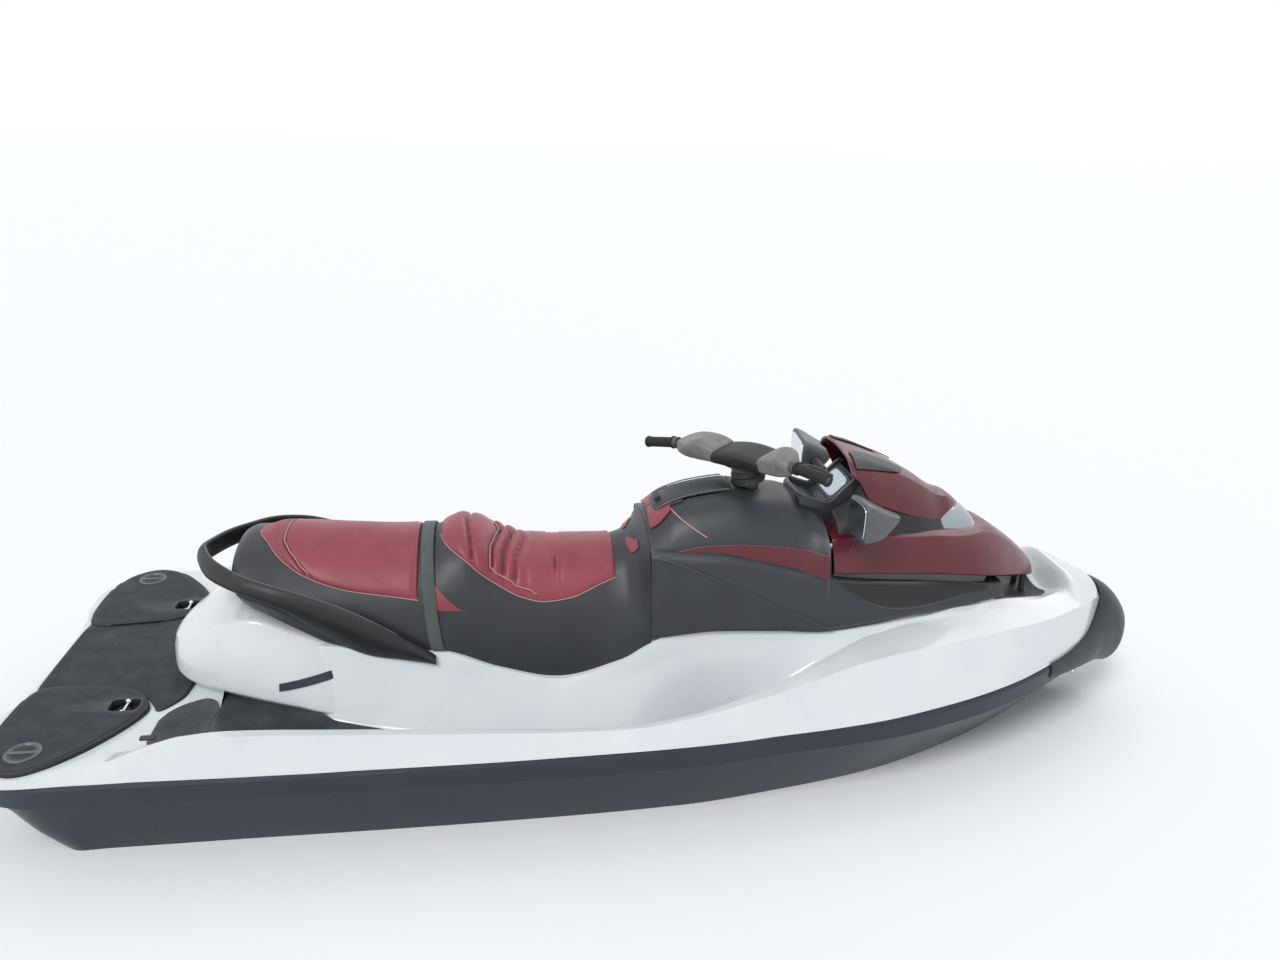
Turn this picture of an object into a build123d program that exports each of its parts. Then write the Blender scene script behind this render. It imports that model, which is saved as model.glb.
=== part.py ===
# A three-seat personal watercraft, afloat.
# Millimetres. +X is the bow, +Y is port, +Z is up. The origin is on the waterline, amidships.
import math
import os

from build123d import *

os.makedirs("parts", exist_ok=True)

FROM_BASE = (Align.CENTER, Align.CENTER, Align.MIN)

# Driving sizes
SEAM = 0.5             # gap between two mouldings of the same body
FIT = 0.3              # gap between a piece and its seat
RUN = 6.0              # running clearance of moving pieces
STERN_X = -1770.0      # aft edge of the platform
TRANSOM_X = -1500.0    # aft face of the wetted hull
PLATFORM_Z = 262.0     # top of the stern platform
PLATFORM_EDGE = 50.0   # depth of the platform's white rim
PLATFORM_HALF = 592.0  # half the platform's width
PLATFORM_CORNER = 90.0
SKIRT_RISE = 205.0     # height of the black skirt's aft foot
MAT = 6.0              # thickness of the traction mats
MAT_RAISED = 14.0      # thickness of the raised side mats
TUB_WALL = 12.0        # thickness of the deck moulding round a footwell
WELL_TOP = 520.0       # height above every footwell's edge
WELL_OVERLAP = 60.0    # how far a footwell's cut reaches under the seat pedestal
MAT_IN, MAT_OUT = 22.0, 12.0      # inset of the footwell mats from the floor's inner and outer edges

JET_Z = -100.0         # height of the jet pump's axis
PUMP_OUTER = 84.0
PUMP_BORE = 76.0
PUMP_FLANGE = 92.0
PUMP_FRONT = -1186.0
PUMP_LENGTH = 214.0
DUCT_HALF = 76.0       # half the width of the jet's intake duct
BELOW_KEEL = -320.0    # a height under everything, for cuts open at the bottom
VENTURI_LENGTH = 88.0
PUMP_AFT = PUMP_FRONT - PUMP_LENGTH
VENTURI_AFT = PUMP_AFT - VENTURI_LENGTH
VENTURI_OUTER = 60.0
VENTURI_BORE = 52.0
TUNNEL_HALF = 130.0
TUNNEL_TOP = 8.0
NOZZLE_PIVOT = VENTURI_AFT - 24
NOZZLE_LENGTH = 122.0
LUG_FOOT = 90.0
PIN_RADIUS = 6.0
PIN_FIT = 0.3
BRACKET_Y = 100.0
NOZZLE_REST = -22.0    # degrees about +Z, the bars being hard to port
GATE_PIVOT_X = NOZZLE_PIVOT - 8
GATE_RADIUS = 158.0
GATE_WALL = 8.0
GATE_HALF = 122.0
SHAFT_RADIUS = 12.0
BLADE_TIP = PUMP_BORE - RUN
HUB_RADIUS = 30.0
BLADES = 3

STEER_X, STEER_Z = 364.0, 800.0   # foot of the turning part on the steering axis
STEER_RAKE = 12.0                 # degrees that the axis leans aft
STEER_REST = 34.0                 # degrees to port in which the bars are left
COLUMN_RADIUS = 30.0
BAR_RADIUS = 11.0
GRIP_RADIUS = 17.0

HOOD_HINGE_X, HOOD_HINGE_Z = 1340.0, 446.0
LID_HINGE_X, LID_HINGE_Z = 304.0, 796.0
STEP_HINGE_X, STEP_HINGE_Z = -1520.0, -90.0
STEP_HALF = 176.0
STEP_REACH = 300.0
STEP_TUBE = 11.0

ENGINE_X0, ENGINE_X1 = -520.0, 90.0
ENGINE_HALF = 200.0
ENGINE_Z0, ENGINE_Z1 = -190.0, 215.0
BAY_GAP = 24.0

BIN_X0, BIN_X1 = 690.0, 1140.0
BIN_HALF = 180.0
BIN_Z0, BIN_Z1 = 60.0, 436.0
BIN_WALL = 5.0

# Hull: x, keel z, chine half-breadth and height, gunwale half-breadth and height
HULL = [
    (-1500, -225, 500, -70, 598, 245),
    (-700, -275, 505, -85, 612, 248),
    (100, -285, 488, -78, 598, 250),
    (600, -275, 410, -48, 546, 252),
    (1000, -228, 298, -12, 448, 264),
    (1350, -105, 168, 62, 300, 294),
    (1560, 40, 66, 140, 132, 312),
    (1645, 130, 22, 200, 40, 320),
]
# Deck: x, gunwale half-breadth and height (as the hull's), crease half-breadth and height,
# shoulder half-breadth and height, crown
DECK = [
    (-1500, 598, 245, 585, 260, 300, 262, 263),
    (-1180, 608, 246, 574, 346, 290, 349, 351),
    (-700, 612, 248, 582, 332, 290, 335, 337),
    (-250, 608, 249, 584, 306, 290, 312, 316),
    (100, 598, 250, 572, 318, 300, 332, 340),
    (600, 546, 252, 462, 396, 300, 420, 430),
    (1000, 448, 264, 378, 428, 262, 462, 420),
    (1350, 300, 294, 268, 430, 190, 444, 372),
    (1425, 254, 300, 222, 432, 158, 456, 378),
    (1455, 230, 303, 202, 436, 136, 486, 498),
    (1560, 132, 312, 112, 430, 70, 456, 460),
    (1590, 100, 315, 86, 412, 50, 438, 442),
    (1645, 40, 320, 32, 324, 16, 330, 332),
]
# Footwell: x, floor z, inner and outer half-breadths of the floor, outer half-breadth at the top
WELLS = [
    (-1500, 262, 60, 494, 524),
    (-1385, 262, 60, 490, 522),
    (-1310, 262, 236, 490, 524),
    (-1000, 244, 300, 508, 540),
    (-600, 190, 330, 514, 548),
    (-200, 142, 335, 512, 546),
    (120, 130, 330, 500, 536),
    (330, 190, 340, 462, 500),
    (470, 330, 360, 420, 450),
]
# Seat pedestal: x, foot half-breadth and height, top half-breadth and height
PEDESTAL = [
    (-1378, 120, 255, 70, 352),
    (-1290, 218, 256, 186, 420),
    (-1120, 290, 244, 228, 498),
    (-840, 350, 215, 268, 404),
    (-600, 370, 185, 262, 372),
    (-250, 384, 135, 250, 262),
    (60, 366, 120, 256, 384),
    (180, 356, 140, 260, 434),
    (480, 370, 300, 264, 436),
]
# Seat: x, flank foot half-breadth and height, waist, shoulder, crown height
SEAT_REAR = [
    (-1182, 100, 556, 126, 590, 88, 620, 627),
    (-1110, 236, 486, 226, 576, 140, 656, 678),
    (-900, 262, 414, 226, 562, 148, 650, 676),
    (-720, 262, 384, 222, 556, 148, 642, 669),
    (-612, 262, 368, 220, 554, 148, 646, 674),
]
SEAT_FRONT = [
    (-608, 262, 368, 220, 554, 148, 650, 678),
    (-520, 260, 342, 220, 564, 148, 670, 700),
    (-400, 258, 304, 214, 536, 146, 620, 646),
    (-240, 256, 256, 206, 516, 140, 594, 620),
    (-60, 256, 316, 190, 518, 130, 602, 626),
    (30, 250, 366, 166, 566, 112, 674, 696),
]
SEAT_STEP = 54.0
SEAT_END = SEAT_FRONT[-1][0]      # front end of the driver's seat
STRAP_THICK = 3.5
# Grey side panel: x, foot half-breadth and height, top half-breadth and height
SIDE_PANEL = [
    (SEAT_END + SEAM, 262, 404, 216, 640),
    (240, 276, 430, 238, 640),
    (540, 286, 416, 252, 585),
    (860, 284, 460, 244, 556),
    (1170, 214, 474, 190, 512),
]
PANEL_THICK = 16.0
# Console between seat and hood: x, foot half-breadth and height, waist, shoulder, crown
HOOD_AFT = 575.0       # aft edge of the hood's lower moulding
CONSOLE = [
    (SEAT_END + SEAM, 231, 408, 193, 606, 90, 684, 704),
    (44, 232, 410, 194, 610, 92, 690, 712),
    (110, 236, 416, 198, 640, 108, 744, 758),
    (300, 250, 418, 218, 640, 118, 782, 792),
    (470, 258, 412, 228, 600, 104, 750, 762),
    (HOOD_AFT - RUN, 260, 412, 232, 582, 100, 708, 718),
]
CONSOLE_STEP = 64.0
GLOVE_X0, GLOVE_X1, GLOVE_HALF, GLOVE_FLOOR = 84.0, 262.0, 62.0, 600.0
LID_THICK = 13.0
LID_AFT, LID_FORE = 44.0, 301.0
LID_MARGIN = 14.0      # how far the lid reaches past its hollow
LID_KNUCKLE = 5.0
LID_SEAT = 0.8         # gap under the closed lid
# Hood nose and side panels (lower): x, foot, top edge, inner top
HOOD_LOWER = [
    (HOOD_AFT, 272, 602, 224, 700, 700),
    (900, 262, 590, 200, 686, 690),
    (1100, 222, 556, 122, 672, 680),
    (1250, 130, 508, 62, 598, 606),
    (1368, 34, 462, 16, 478, 482),
]
# Hood cover (upper): x, edge half-breadth and height, brow half-breadth and height, crown
HOOD_UPPER = [
    (650, 172, 862, 110, 910, 920),
    (720, 172, 790, 104, 892, 903),
    (860, 152, 736, 90, 834, 846),
    (960, 112, 710, 66, 774, 786),
    (1062, 22, 700, 14, 718, 722),
]
HOOD_SHELL = 26.0
# Core between the hood's two mouldings: x, foot half-breadth and height, top half-breadth and height
CORE_AFT, CORE_FORE, CORE_FOOT = 606.0, 1060.0, 672.0
HOOD_CORE = [
    (CORE_AFT, 216, CORE_FOOT, 150, 880),
    (860, 196, CORE_FOOT, 132, 800),
    (CORE_FORE, 122, CORE_FOOT, 18, 712),
]
POCKET_HALF = 106.0    # half the width of the hood's hollow round the gauge pod
POCKET_X = 722.0       # front face of that hollow
NOSE_INSIDE = 560.0    # height up to which the nose moulding is filled
# Lens under the beak, as the core
HOOD_LENS = [
    (1064, 92, 640, 56, 694),
    (1168, 60, 620, 34, 656),
]
# Stern mats in plan, port side: x and y
SIDE_MAT = [(-1754, 376), (-1750, 264), (-1736, 204), (-1690, 180), (-1590, 186), (-1500, 200), (-1440, 230),
            (-1402, 282), (-1398, 335), (-1446, 426), (-1522, 520), (-1590, 564), (-1656, 572), (-1716, 530),
            (-1746, 460)]
CENTRE_MAT = [(-1740, 176), (-1726, 196), (-1690, 176), (-1590, 182), (-1500, 196), (-1440, 226),
              (-1398, 280), (-1366, 318), (-1322, 262), (-1350, 190), (-1388, 110), (-1400, 50)]
RING_CAP_X, RING_CAP_Y, RING_CAP_RADIUS = -1640.0, 500.0, 44.0
CUP_X, CUP_Y, CUP_LONG, CUP_WIDE, CUP_DEEP = -1462.0, 296.0, 84.0, 64.0, 18.0
# Mirrors: middle of the housing's aft face, its sizes and the sizes of its tip
MIRROR_X, MIRROR_Y, MIRROR_Z = 614.0, 306.0, 796.0
MIRROR_LONG, MIRROR_WIDE, MIRROR_HIGH = 124.0, 150.0, 124.0
MIRROR_TIP_WIDE, MIRROR_TIP_HIGH = 46.0, 16.0
MIRROR_RIM = 7.0
MIRROR_ARM = 17.0      # radius of the arm


def station(x):
    """Plane across the craft at x, its own x to port and its own y up."""
    return Plane(origin=(x, 0, 0), x_dir=(0, 1, 0), z_dir=(1, 0, 0))


def mirrored(half):
    """Closed outline from half an outline: points from the centre plane out to port and back."""
    other = [(-y, z) for y, z in reversed(half) if y > 0]
    return half + other


def faired(rows, step):
    """The rows of a table with more stations between them, every column following a smooth curve.

    The curve has no overshoot: its slope at a row is the harmonic mean of the slopes beside it.
    """
    slopes = []
    for i, row in enumerate(rows):
        before = rows[max(i - 1, 0)]
        after = rows[min(i + 1, len(rows) - 1)]
        slope = [0.0]
        for low, mid, high in list(zip(before, row, after))[1:]:
            left = (mid - low) / (row[0] - before[0]) if i else None
            right = (high - mid) / (after[0] - row[0]) if i < len(rows) - 1 else None
            left, right = (right if left is None else left), (left if right is None else right)
            slope.append(2 * left * right / (left + right) if left * right > 0 else 0.0)
        slopes.append(slope)
    result = []
    for (a, b), (m, n) in zip(zip(rows, rows[1:]), zip(slopes, slopes[1:])):
        span = b[0] - a[0]
        count = max(1, round(span / step))
        for k in range(count):
            t = k / count
            h = (2 * t**3 - 3 * t**2 + 1, t**3 - 2 * t**2 + t, -2 * t**3 + 3 * t**2, t**3 - t**2)
            columns = [h[0] * p + h[1] * span * u + h[2] * q + h[3] * span * v
                       for p, q, u, v in list(zip(a, b, m, n))[1:]]
            result.append((a[0] + t * span, *columns))
    return result + [tuple(rows[-1])]


def lofted(rows, outline, step=150.0):
    """Loft through closed outlines at the stations of a table, faired at the given step."""
    with BuildPart() as body:
        for row in faired(rows, step):
            with BuildSketch(station(row[0])):
                with BuildLine():
                    Polyline(outline(row), close=True)
                make_face()
        loft(ruled=True)
    return body.part


def save(builder, name):
    """Label the finished piece and write it."""
    builder.part.label = name
    export_step(builder.part, f"parts/{name}.step")


def hull_outline(row):
    x, keel, chine, chine_z, beam, beam_z = row
    return mirrored([(0, keel), (chine - 0.08 * chine, chine_z - 14), (chine, chine_z), (beam, beam_z)])


def deck_outline(row):
    x, beam, beam_z, crease, crease_z, shoulder, shoulder_z, crown = row
    rim = [(beam, beam_z + SEAM), (crease, crease_z), (shoulder, shoulder_z), (0, crown)]
    return rim + [(-y, z) for y, z in reversed(rim[:-1])]


def well_block_outline(row):
    x, floor, inner, outer, top = row
    return mirrored_box(outer + TUB_WALL, floor - TUB_WALL, max(PLATFORM_Z, floor))


def mirrored_box(half, low, high):
    return [(half, low), (half, high), (-half, high), (-half, low)]


def well_outline(side, row):
    x, floor, inner, outer, top = row
    under = inner - WELL_OVERLAP
    return [(side * under, floor), (side * outer, floor), (side * top, WELL_TOP), (side * under, WELL_TOP)]


def mat_outline(side, row):
    x, floor, inner, outer, top = row
    low, high = side * (inner + MAT_IN), side * (outer - MAT_OUT)
    return [(low, floor + FIT), (high, floor + FIT), (high, floor + MAT), (low, floor + MAT)]


def pedestal_outline(row):
    x, foot, foot_z, top, top_z = row
    return [(foot, foot_z), (top, top_z), (-top, top_z), (-foot, foot_z)]


def seat_outline(row):
    x, foot, foot_z, waist, waist_z, shoulder, shoulder_z, crown = row
    half = [(foot, foot_z), (waist, waist_z), (shoulder, shoulder_z), (0, crown)]
    return half + [(-y, z) for y, z in reversed(half[:-1])]


def hood_lower_outline(row):
    x, foot, foot_z, top, top_z, crown = row
    half = [(foot, foot_z), (top, top_z), (0, crown)]
    return half + [(-y, z) for y, z in reversed(half[:-1])]


def hood_upper_outline(row):
    x, edge, edge_z, brow, brow_z, crown = row
    half = [(edge, edge_z), (brow, brow_z), (0, crown)]
    inner = max(edge - HOOD_SHELL, 4)
    return (half + [(-y, z) for y, z in reversed(half[:-1])]
            + [(-inner, edge_z - 4), (0, max(crown - HOOD_SHELL, edge_z - 2)), (inner, edge_z - 4)])


def profiled(points, half):
    """Extrude a profile drawn in x and z by half to each side of the centre plane."""
    with BuildPart() as body:
        with BuildSketch(Plane.XZ):
            with BuildLine():
                Polyline(points, close=True)
            make_face()
        extrude(amount=half, both=True)
    return body.part


# Front storage bin, engine bay and jet duct: the voids that hull and deck both leave
with BuildPart() as voids:
    with Locations(((BIN_X0 + BIN_X1) / 2, 0, (BIN_Z0 + 700) / 2)):
        Box(BIN_X1 - BIN_X0 + 2 * FIT, 2 * (BIN_HALF + FIT), 700 - BIN_Z0 + 2 * FIT)
    with Locations(((ENGINE_X0 + ENGINE_X1) / 2, 0, (ENGINE_Z0 + 700) / 2)):
        Box(ENGINE_X1 - ENGINE_X0 + 2 * BAY_GAP, 2 * (ENGINE_HALF + BAY_GAP), 700 - ENGINE_Z0)

WELL_BLOCK = lofted(WELLS, well_block_outline)
FOOTWELLS = [lofted(WELLS, lambda row: well_outline(side, row)) for side in (1, -1)]

# Hull
with BuildPart() as hull:
    add(lofted(HULL, hull_outline))
    skirt = [(TRANSOM_X + 1, 245), (STERN_X + 12, 245), (STERN_X + 12, SKIRT_RISE), (TRANSOM_X - 60, 0),
             (TRANSOM_X + 1, -30)]
    add(profiled(skirt, PLATFORM_HALF - 8))
    pump_tunnel = [(TRANSOM_X - 1, TUNNEL_TOP), (PUMP_FRONT, TUNNEL_TOP), (PUMP_FRONT, BELOW_KEEL),
                   (TRANSOM_X - 1, BELOW_KEEL)]
    add(profiled(pump_tunnel, TUNNEL_HALF), mode=Mode.SUBTRACT)
    gate_recess = [(TRANSOM_X + 30, 76), (STERN_X, 76), (STERN_X, -60), (TRANSOM_X + 30, -60)]
    add(profiled(gate_recess, GATE_HALF + 14), mode=Mode.SUBTRACT)
    duct = [(PUMP_FRONT - 1, JET_Z + PUMP_BORE), (PUMP_FRONT - 1, BELOW_KEEL), (-700, BELOW_KEEL), (-770, -240),
            (-1000, -80)]
    add(profiled(duct, DUCT_HALF), mode=Mode.SUBTRACT)
    with Locations(Plane(origin=(PUMP_FRONT, 0, JET_Z), z_dir=(1, 0, 0))):
        Cylinder(SHAFT_RADIUS + RUN, ENGINE_X0 - PUMP_FRONT, align=FROM_BASE,
                 mode=Mode.SUBTRACT)
    add(WELL_BLOCK, mode=Mode.SUBTRACT)
    add(voids.part, mode=Mode.SUBTRACT)
    for side in (1, -1):
        with Locations((TRANSOM_X - 16, side * (STEP_HALF + 22), STEP_HINGE_Z)):
            Box(36, 10, 26)
        with Locations(Plane(origin=(STEP_HINGE_X, side * (STEP_HALF + 22), STEP_HINGE_Z), z_dir=(0, 1, 0))):
            Cylinder(PIN_RADIUS + PIN_FIT, 12, mode=Mode.SUBTRACT)
save(hull, "hull")

# Hollows under the mooring bars
with BuildPart() as mooring_cups:
    with Locations(*[(CUP_X, side * CUP_Y, PLATFORM_Z - CUP_DEEP) for side in (1, -1)]):
        Box(CUP_LONG, CUP_WIDE, CUP_DEEP + 60, align=FROM_BASE)

# Deck
with BuildPart() as deck:
    add(lofted(DECK, deck_outline))
    with BuildSketch(Plane.XY.offset(PLATFORM_Z - PLATFORM_EDGE)):
        with BuildLine():
            Polyline([(TRANSOM_X + 40, -PLATFORM_HALF), (TRANSOM_X + 40, PLATFORM_HALF),
                      (STERN_X, PLATFORM_HALF), (STERN_X, -PLATFORM_HALF)], close=True)
        rim = make_face()
        fillet(rim.vertices().sort_by(Axis.X)[:2], PLATFORM_CORNER)
    extrude(amount=PLATFORM_EDGE)
    add(WELL_BLOCK)
    for footwell in FOOTWELLS:
        add(footwell, mode=Mode.SUBTRACT)
    add(lofted(PEDESTAL, pedestal_outline))
    add(mooring_cups.part, mode=Mode.SUBTRACT)
    add(hull.part, mode=Mode.SUBTRACT)
    add(voids.part, mode=Mode.SUBTRACT)
save(deck, "deck")

# Bow bumper: a soft nose wrapped round the stem
with BuildPart() as bow_bumper:
    with BuildSketch(Plane.XY.offset(40)):
        with BuildLine():
            ThreePointArc((1310, 322), (1500, 228), (1650, 128))
            ThreePointArc((1650, 128), (1770, 0), (1650, -128))
            ThreePointArc((1650, -128), (1500, -228), (1310, -322))
            Line((1310, -322), (1310, 322))
        make_face()
    extrude(amount=360)
    nose_side = [(1310, 268), (1310, 322), (1560, 345), (1584, 432), (1640, 404), (1680, 380), (1716, 342),
                 (1746, 302), (1770, 246), (1760, 186), (1716, 130), (1650, 108), (1560, 180)]
    add(profiled(nose_side, 400), mode=Mode.INTERSECT)
    nose_front = [(0, 446), (64, 438), (108, 400), (146, 352), (400, 336), (400, 190), (160, 124), (112, 86),
                  (0, 70)]
    with BuildSketch(station(1300)):
        with BuildLine():
            Polyline(mirrored(nose_front), close=True)
        make_face()
    extrude(amount=500, mode=Mode.INTERSECT)
    add(hull.part, mode=Mode.SUBTRACT)
    add(deck.part, mode=Mode.SUBTRACT)
save(bow_bumper, "bow_bumper")

# Sponsons on the hull's sides
SPONSON = [(490, -52), (546, -58), (566, -34), (520, 46)]
with BuildPart() as sponsons:
    for side in (1, -1):
        with BuildSketch(station(-1440)):
            with BuildLine():
                Polyline([(side * y, z) for y, z in SPONSON], close=True)
            make_face()
        extrude(amount=420)
    add(hull.part, mode=Mode.SUBTRACT)
save(sponsons, "sponsons")

# Ride plate under the pump, intake grate in the duct's mouth
with BuildPart() as ride_plate:
    STRAKE_INSET = 40.0
    plate = [(TRANSOM_X, -206), (PUMP_FRONT - FIT, -206), (PUMP_FRONT - FIT, -213), (TRANSOM_X, -215)]
    add(profiled(plate, TUNNEL_HALF - FIT))
    with Locations(((TRANSOM_X + PUMP_FRONT) / 2, 0, -216)):
        with GridLocations(0, 150, 1, 2):
            Box(PUMP_FRONT - TRANSOM_X - 2 * STRAKE_INSET, 10, 10)
save(ride_plate, "ride_plate")

with BuildPart() as intake_grate:
    add(profiled([(-1130, -226), (-800, -262), (-800, -254), (-1130, -218)], DUCT_HALF - FIT))
    with Locations((-965, 0, -240)):
        with GridLocations(0, 34, 1, 4):
            Box(270, 24, 120, mode=Mode.SUBTRACT)
save(intake_grate, "intake_grate")

# Jet pump: housing with stator vanes, drawn as a profile turned about the pump's axis
with BuildPart() as pump_housing:
    with BuildSketch(Plane.XZ):
        with BuildLine():
            Polyline([(PUMP_FRONT - FIT, JET_Z + PUMP_BORE), (PUMP_FRONT - FIT, JET_Z + PUMP_FLANGE),
                      (PUMP_FRONT - 14, JET_Z + PUMP_FLANGE), (PUMP_FRONT - 14, JET_Z + PUMP_OUTER),
                      (PUMP_AFT, JET_Z + PUMP_OUTER), (VENTURI_AFT, JET_Z + VENTURI_OUTER),
                      (VENTURI_AFT, JET_Z + VENTURI_BORE), (PUMP_AFT, JET_Z + PUMP_BORE)], close=True)
        make_face()
    revolve(axis=Axis((0, 0, JET_Z), (1, 0, 0)))
    with BuildSketch(Plane.XZ):
        with BuildLine():
            Polyline([(PUMP_AFT + 86, JET_Z), (PUMP_AFT + 86, JET_Z + 34), (PUMP_AFT, JET_Z + 34),
                      (PUMP_AFT - 70, JET_Z + 6), (PUMP_AFT - 70, JET_Z)], close=True)
        make_face()
    revolve(axis=Axis((0, 0, JET_Z), (1, 0, 0)))
    with BuildSketch(Plane(origin=(PUMP_AFT + 4, 0, JET_Z), x_dir=(0, 1, 0), z_dir=(1, 0, 0))):
        with PolarLocations(54, 7):
            Rectangle(48, 4)
    extrude(amount=70)
    lug = [(PUMP_AFT - 2, PUMP_OUTER - 6), (PUMP_AFT - 2, PUMP_OUTER + 8), (NOZZLE_PIVOT - 12, LUG_FOOT + 8),
           (NOZZLE_PIVOT - 12, LUG_FOOT), (VENTURI_AFT + 4, LUG_FOOT)]
    for up in (1, -1):
        add(profiled([(x, JET_Z + up * z) for x, z in lug], 14))
        with Locations((NOZZLE_PIVOT, 0, JET_Z + up * (LUG_FOOT - 3))):
            Cylinder(PIN_RADIUS, 14)
        with Locations(((GATE_PIVOT_X - 12 + PUMP_AFT) / 2, up * (BRACKET_Y + 5), JET_Z)):
            Box(PUMP_AFT - GATE_PIVOT_X + 12, 10, 32)
        with Locations((PUMP_AFT - 2, up * (PUMP_OUTER - 8 + BRACKET_Y) / 2, JET_Z)):
            Box(24, BRACKET_Y - PUMP_OUTER + 16, 32)
        with Locations(Plane(origin=(GATE_PIVOT_X, up * BRACKET_Y, JET_Z), z_dir=(0, up, 0))):
            Cylinder(PIN_RADIUS, GATE_HALF - BRACKET_Y + 8, align=FROM_BASE)
save(pump_housing, "pump_housing")

with BuildPart() as impeller:
    with Locations(Plane(origin=(PUMP_FRONT - 44, 0, JET_Z), z_dir=(-1, 0, 0))):
        Cone(HUB_RADIUS - 8, HUB_RADIUS, 78, align=FROM_BASE)
    for blade in range(BLADES):
        for turn, along in ((0, 0), (42, 36), (84, 70)):
            angle = math.radians(360 / BLADES * blade + turn)
            out = (0, math.cos(angle), math.sin(angle))
            root = Plane(origin=(PUMP_FRONT - 48 - along, 0, JET_Z), x_dir=out, z_dir=(-1, 0, 0))
            with BuildSketch(root):
                with Locations((HUB_RADIUS / 2 + BLADE_TIP / 2 - 6, 0)):
                    Rectangle(BLADE_TIP - HUB_RADIUS + 12, 5)
        loft(ruled=True)
save(impeller, "impeller")

with BuildPart() as drive_shaft:
    with Locations(Plane(origin=(PUMP_FRONT - 44 + FIT, 0, JET_Z), z_dir=(1, 0, 0))):
        Cylinder(SHAFT_RADIUS, ENGINE_X0 - PUMP_FRONT + 44 - 2 * FIT, align=FROM_BASE)
save(drive_shaft, "drive_shaft")

# Engine: one plain block at its real place and size
with BuildPart() as engine:
    with Locations(((ENGINE_X0 + ENGINE_X1) / 2, 0, (ENGINE_Z0 + FIT + ENGINE_Z1) / 2)):
        Box(ENGINE_X1 - ENGINE_X0, 2 * ENGINE_HALF, ENGINE_Z1 - ENGINE_Z0 - FIT)
save(engine, "engine")

# Steering nozzle, turning about an upright axis behind the venturi
swung = math.radians(NOZZLE_REST)
NOZZLE_FRAME = Plane(origin=(NOZZLE_PIVOT, 0, JET_Z), x_dir=(math.cos(swung), math.sin(swung), 0))
with BuildPart() as nozzle:
    with BuildSketch(Plane.XZ):
        with BuildLine():
            Polyline([(14, 75), (14, 83), (-24, 83), (-NOZZLE_LENGTH, 54), (-NOZZLE_LENGTH, 44), (-18, 75)],
                     close=True)
        make_face()
    revolve(axis=Axis.X)
    with Locations((29, 0, 0)):
        Box(30 + 36, 56, 200, mode=Mode.SUBTRACT)
    with Locations((9, 0, 0)):
        Box(26, 200, 132, mode=Mode.SUBTRACT)
    with GridLocations(0, 2 * 79, 1, 1):
        Cylinder(PIN_RADIUS + PIN_FIT, 200, mode=Mode.SUBTRACT)
nozzle.part = NOZZLE_FRAME.from_local_coords(nozzle.part)
save(nozzle, "nozzle")

# Reverse gate: a scoop on two arms, lifted clear of the jet
GATE_FROM, GATE_TO = 25.0, 85.0
with BuildPart() as reverse_gate:
    def gate_point(radius, angle):
        turn = math.radians(angle)
        return (GATE_PIVOT_X - radius * math.cos(turn), JET_Z + radius * math.sin(turn))
    middle = (GATE_FROM + GATE_TO) / 2
    inner_radius = GATE_RADIUS - GATE_WALL
    with BuildSketch(Plane.XZ):
        with BuildLine():
            ThreePointArc(gate_point(GATE_RADIUS, GATE_FROM), gate_point(GATE_RADIUS, middle),
                          gate_point(GATE_RADIUS, GATE_TO))
            Line(gate_point(GATE_RADIUS, GATE_TO), gate_point(inner_radius, GATE_TO))
            ThreePointArc(gate_point(inner_radius, GATE_TO), gate_point(inner_radius, middle),
                          gate_point(inner_radius, GATE_FROM))
            Line(gate_point(inner_radius, GATE_FROM), gate_point(GATE_RADIUS, GATE_FROM))
        make_face()
    extrude(amount=GATE_HALF, both=True)
    for side in (1, -1):
        with BuildSketch(Plane.XZ.offset(-side * GATE_HALF)):
            with BuildLine():
                Polyline([gate_point(GATE_RADIUS - 2, GATE_FROM), gate_point(GATE_RADIUS - 2, middle),
                          gate_point(GATE_RADIUS - 2, GATE_TO), gate_point(20, 130), gate_point(20, -60)],
                         close=True)
            make_face()
        extrude(amount=-side * GATE_WALL)
    with Locations(Plane(origin=(GATE_PIVOT_X, 0, JET_Z), z_dir=(0, 1, 0))):
        Cylinder(PIN_RADIUS + PIN_FIT, 400, mode=Mode.SUBTRACT)
save(reverse_gate, "reverse_gate")

# Traction mats
with BuildPart() as footwell_mats:
    rows = [row for row in WELLS if row[0] > -1385]
    for side in (1, -1):
        add(lofted(rows, lambda row: mat_outline(side, row)))
    add(deck.part, mode=Mode.SUBTRACT)
save(footwell_mats, "footwell_mats")


def plan_pad(points, thick):
    """Flat pad on the stern platform from an outline in plan."""
    with BuildPart() as pad:
        with BuildSketch(Plane.XY.offset(PLATFORM_Z)):
            with BuildLine():
                Polyline(points, close=True)
            make_face()
        extrude(amount=thick)
    return pad.part


with BuildPart() as centre_mat:
    add(plan_pad(CENTRE_MAT + [(x, -y) for x, y in reversed(CENTRE_MAT)], MAT))
    add(deck.part, mode=Mode.SUBTRACT)
save(centre_mat, "centre_mat")

with BuildPart() as side_mats:
    for side in (1, -1):
        add(plan_pad([(x, side * y) for x, y in SIDE_MAT], MAT_RAISED))
    add(mooring_cups.part, mode=Mode.SUBTRACT)
    add(deck.part, mode=Mode.SUBTRACT)
save(side_mats, "side_mats")

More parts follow.
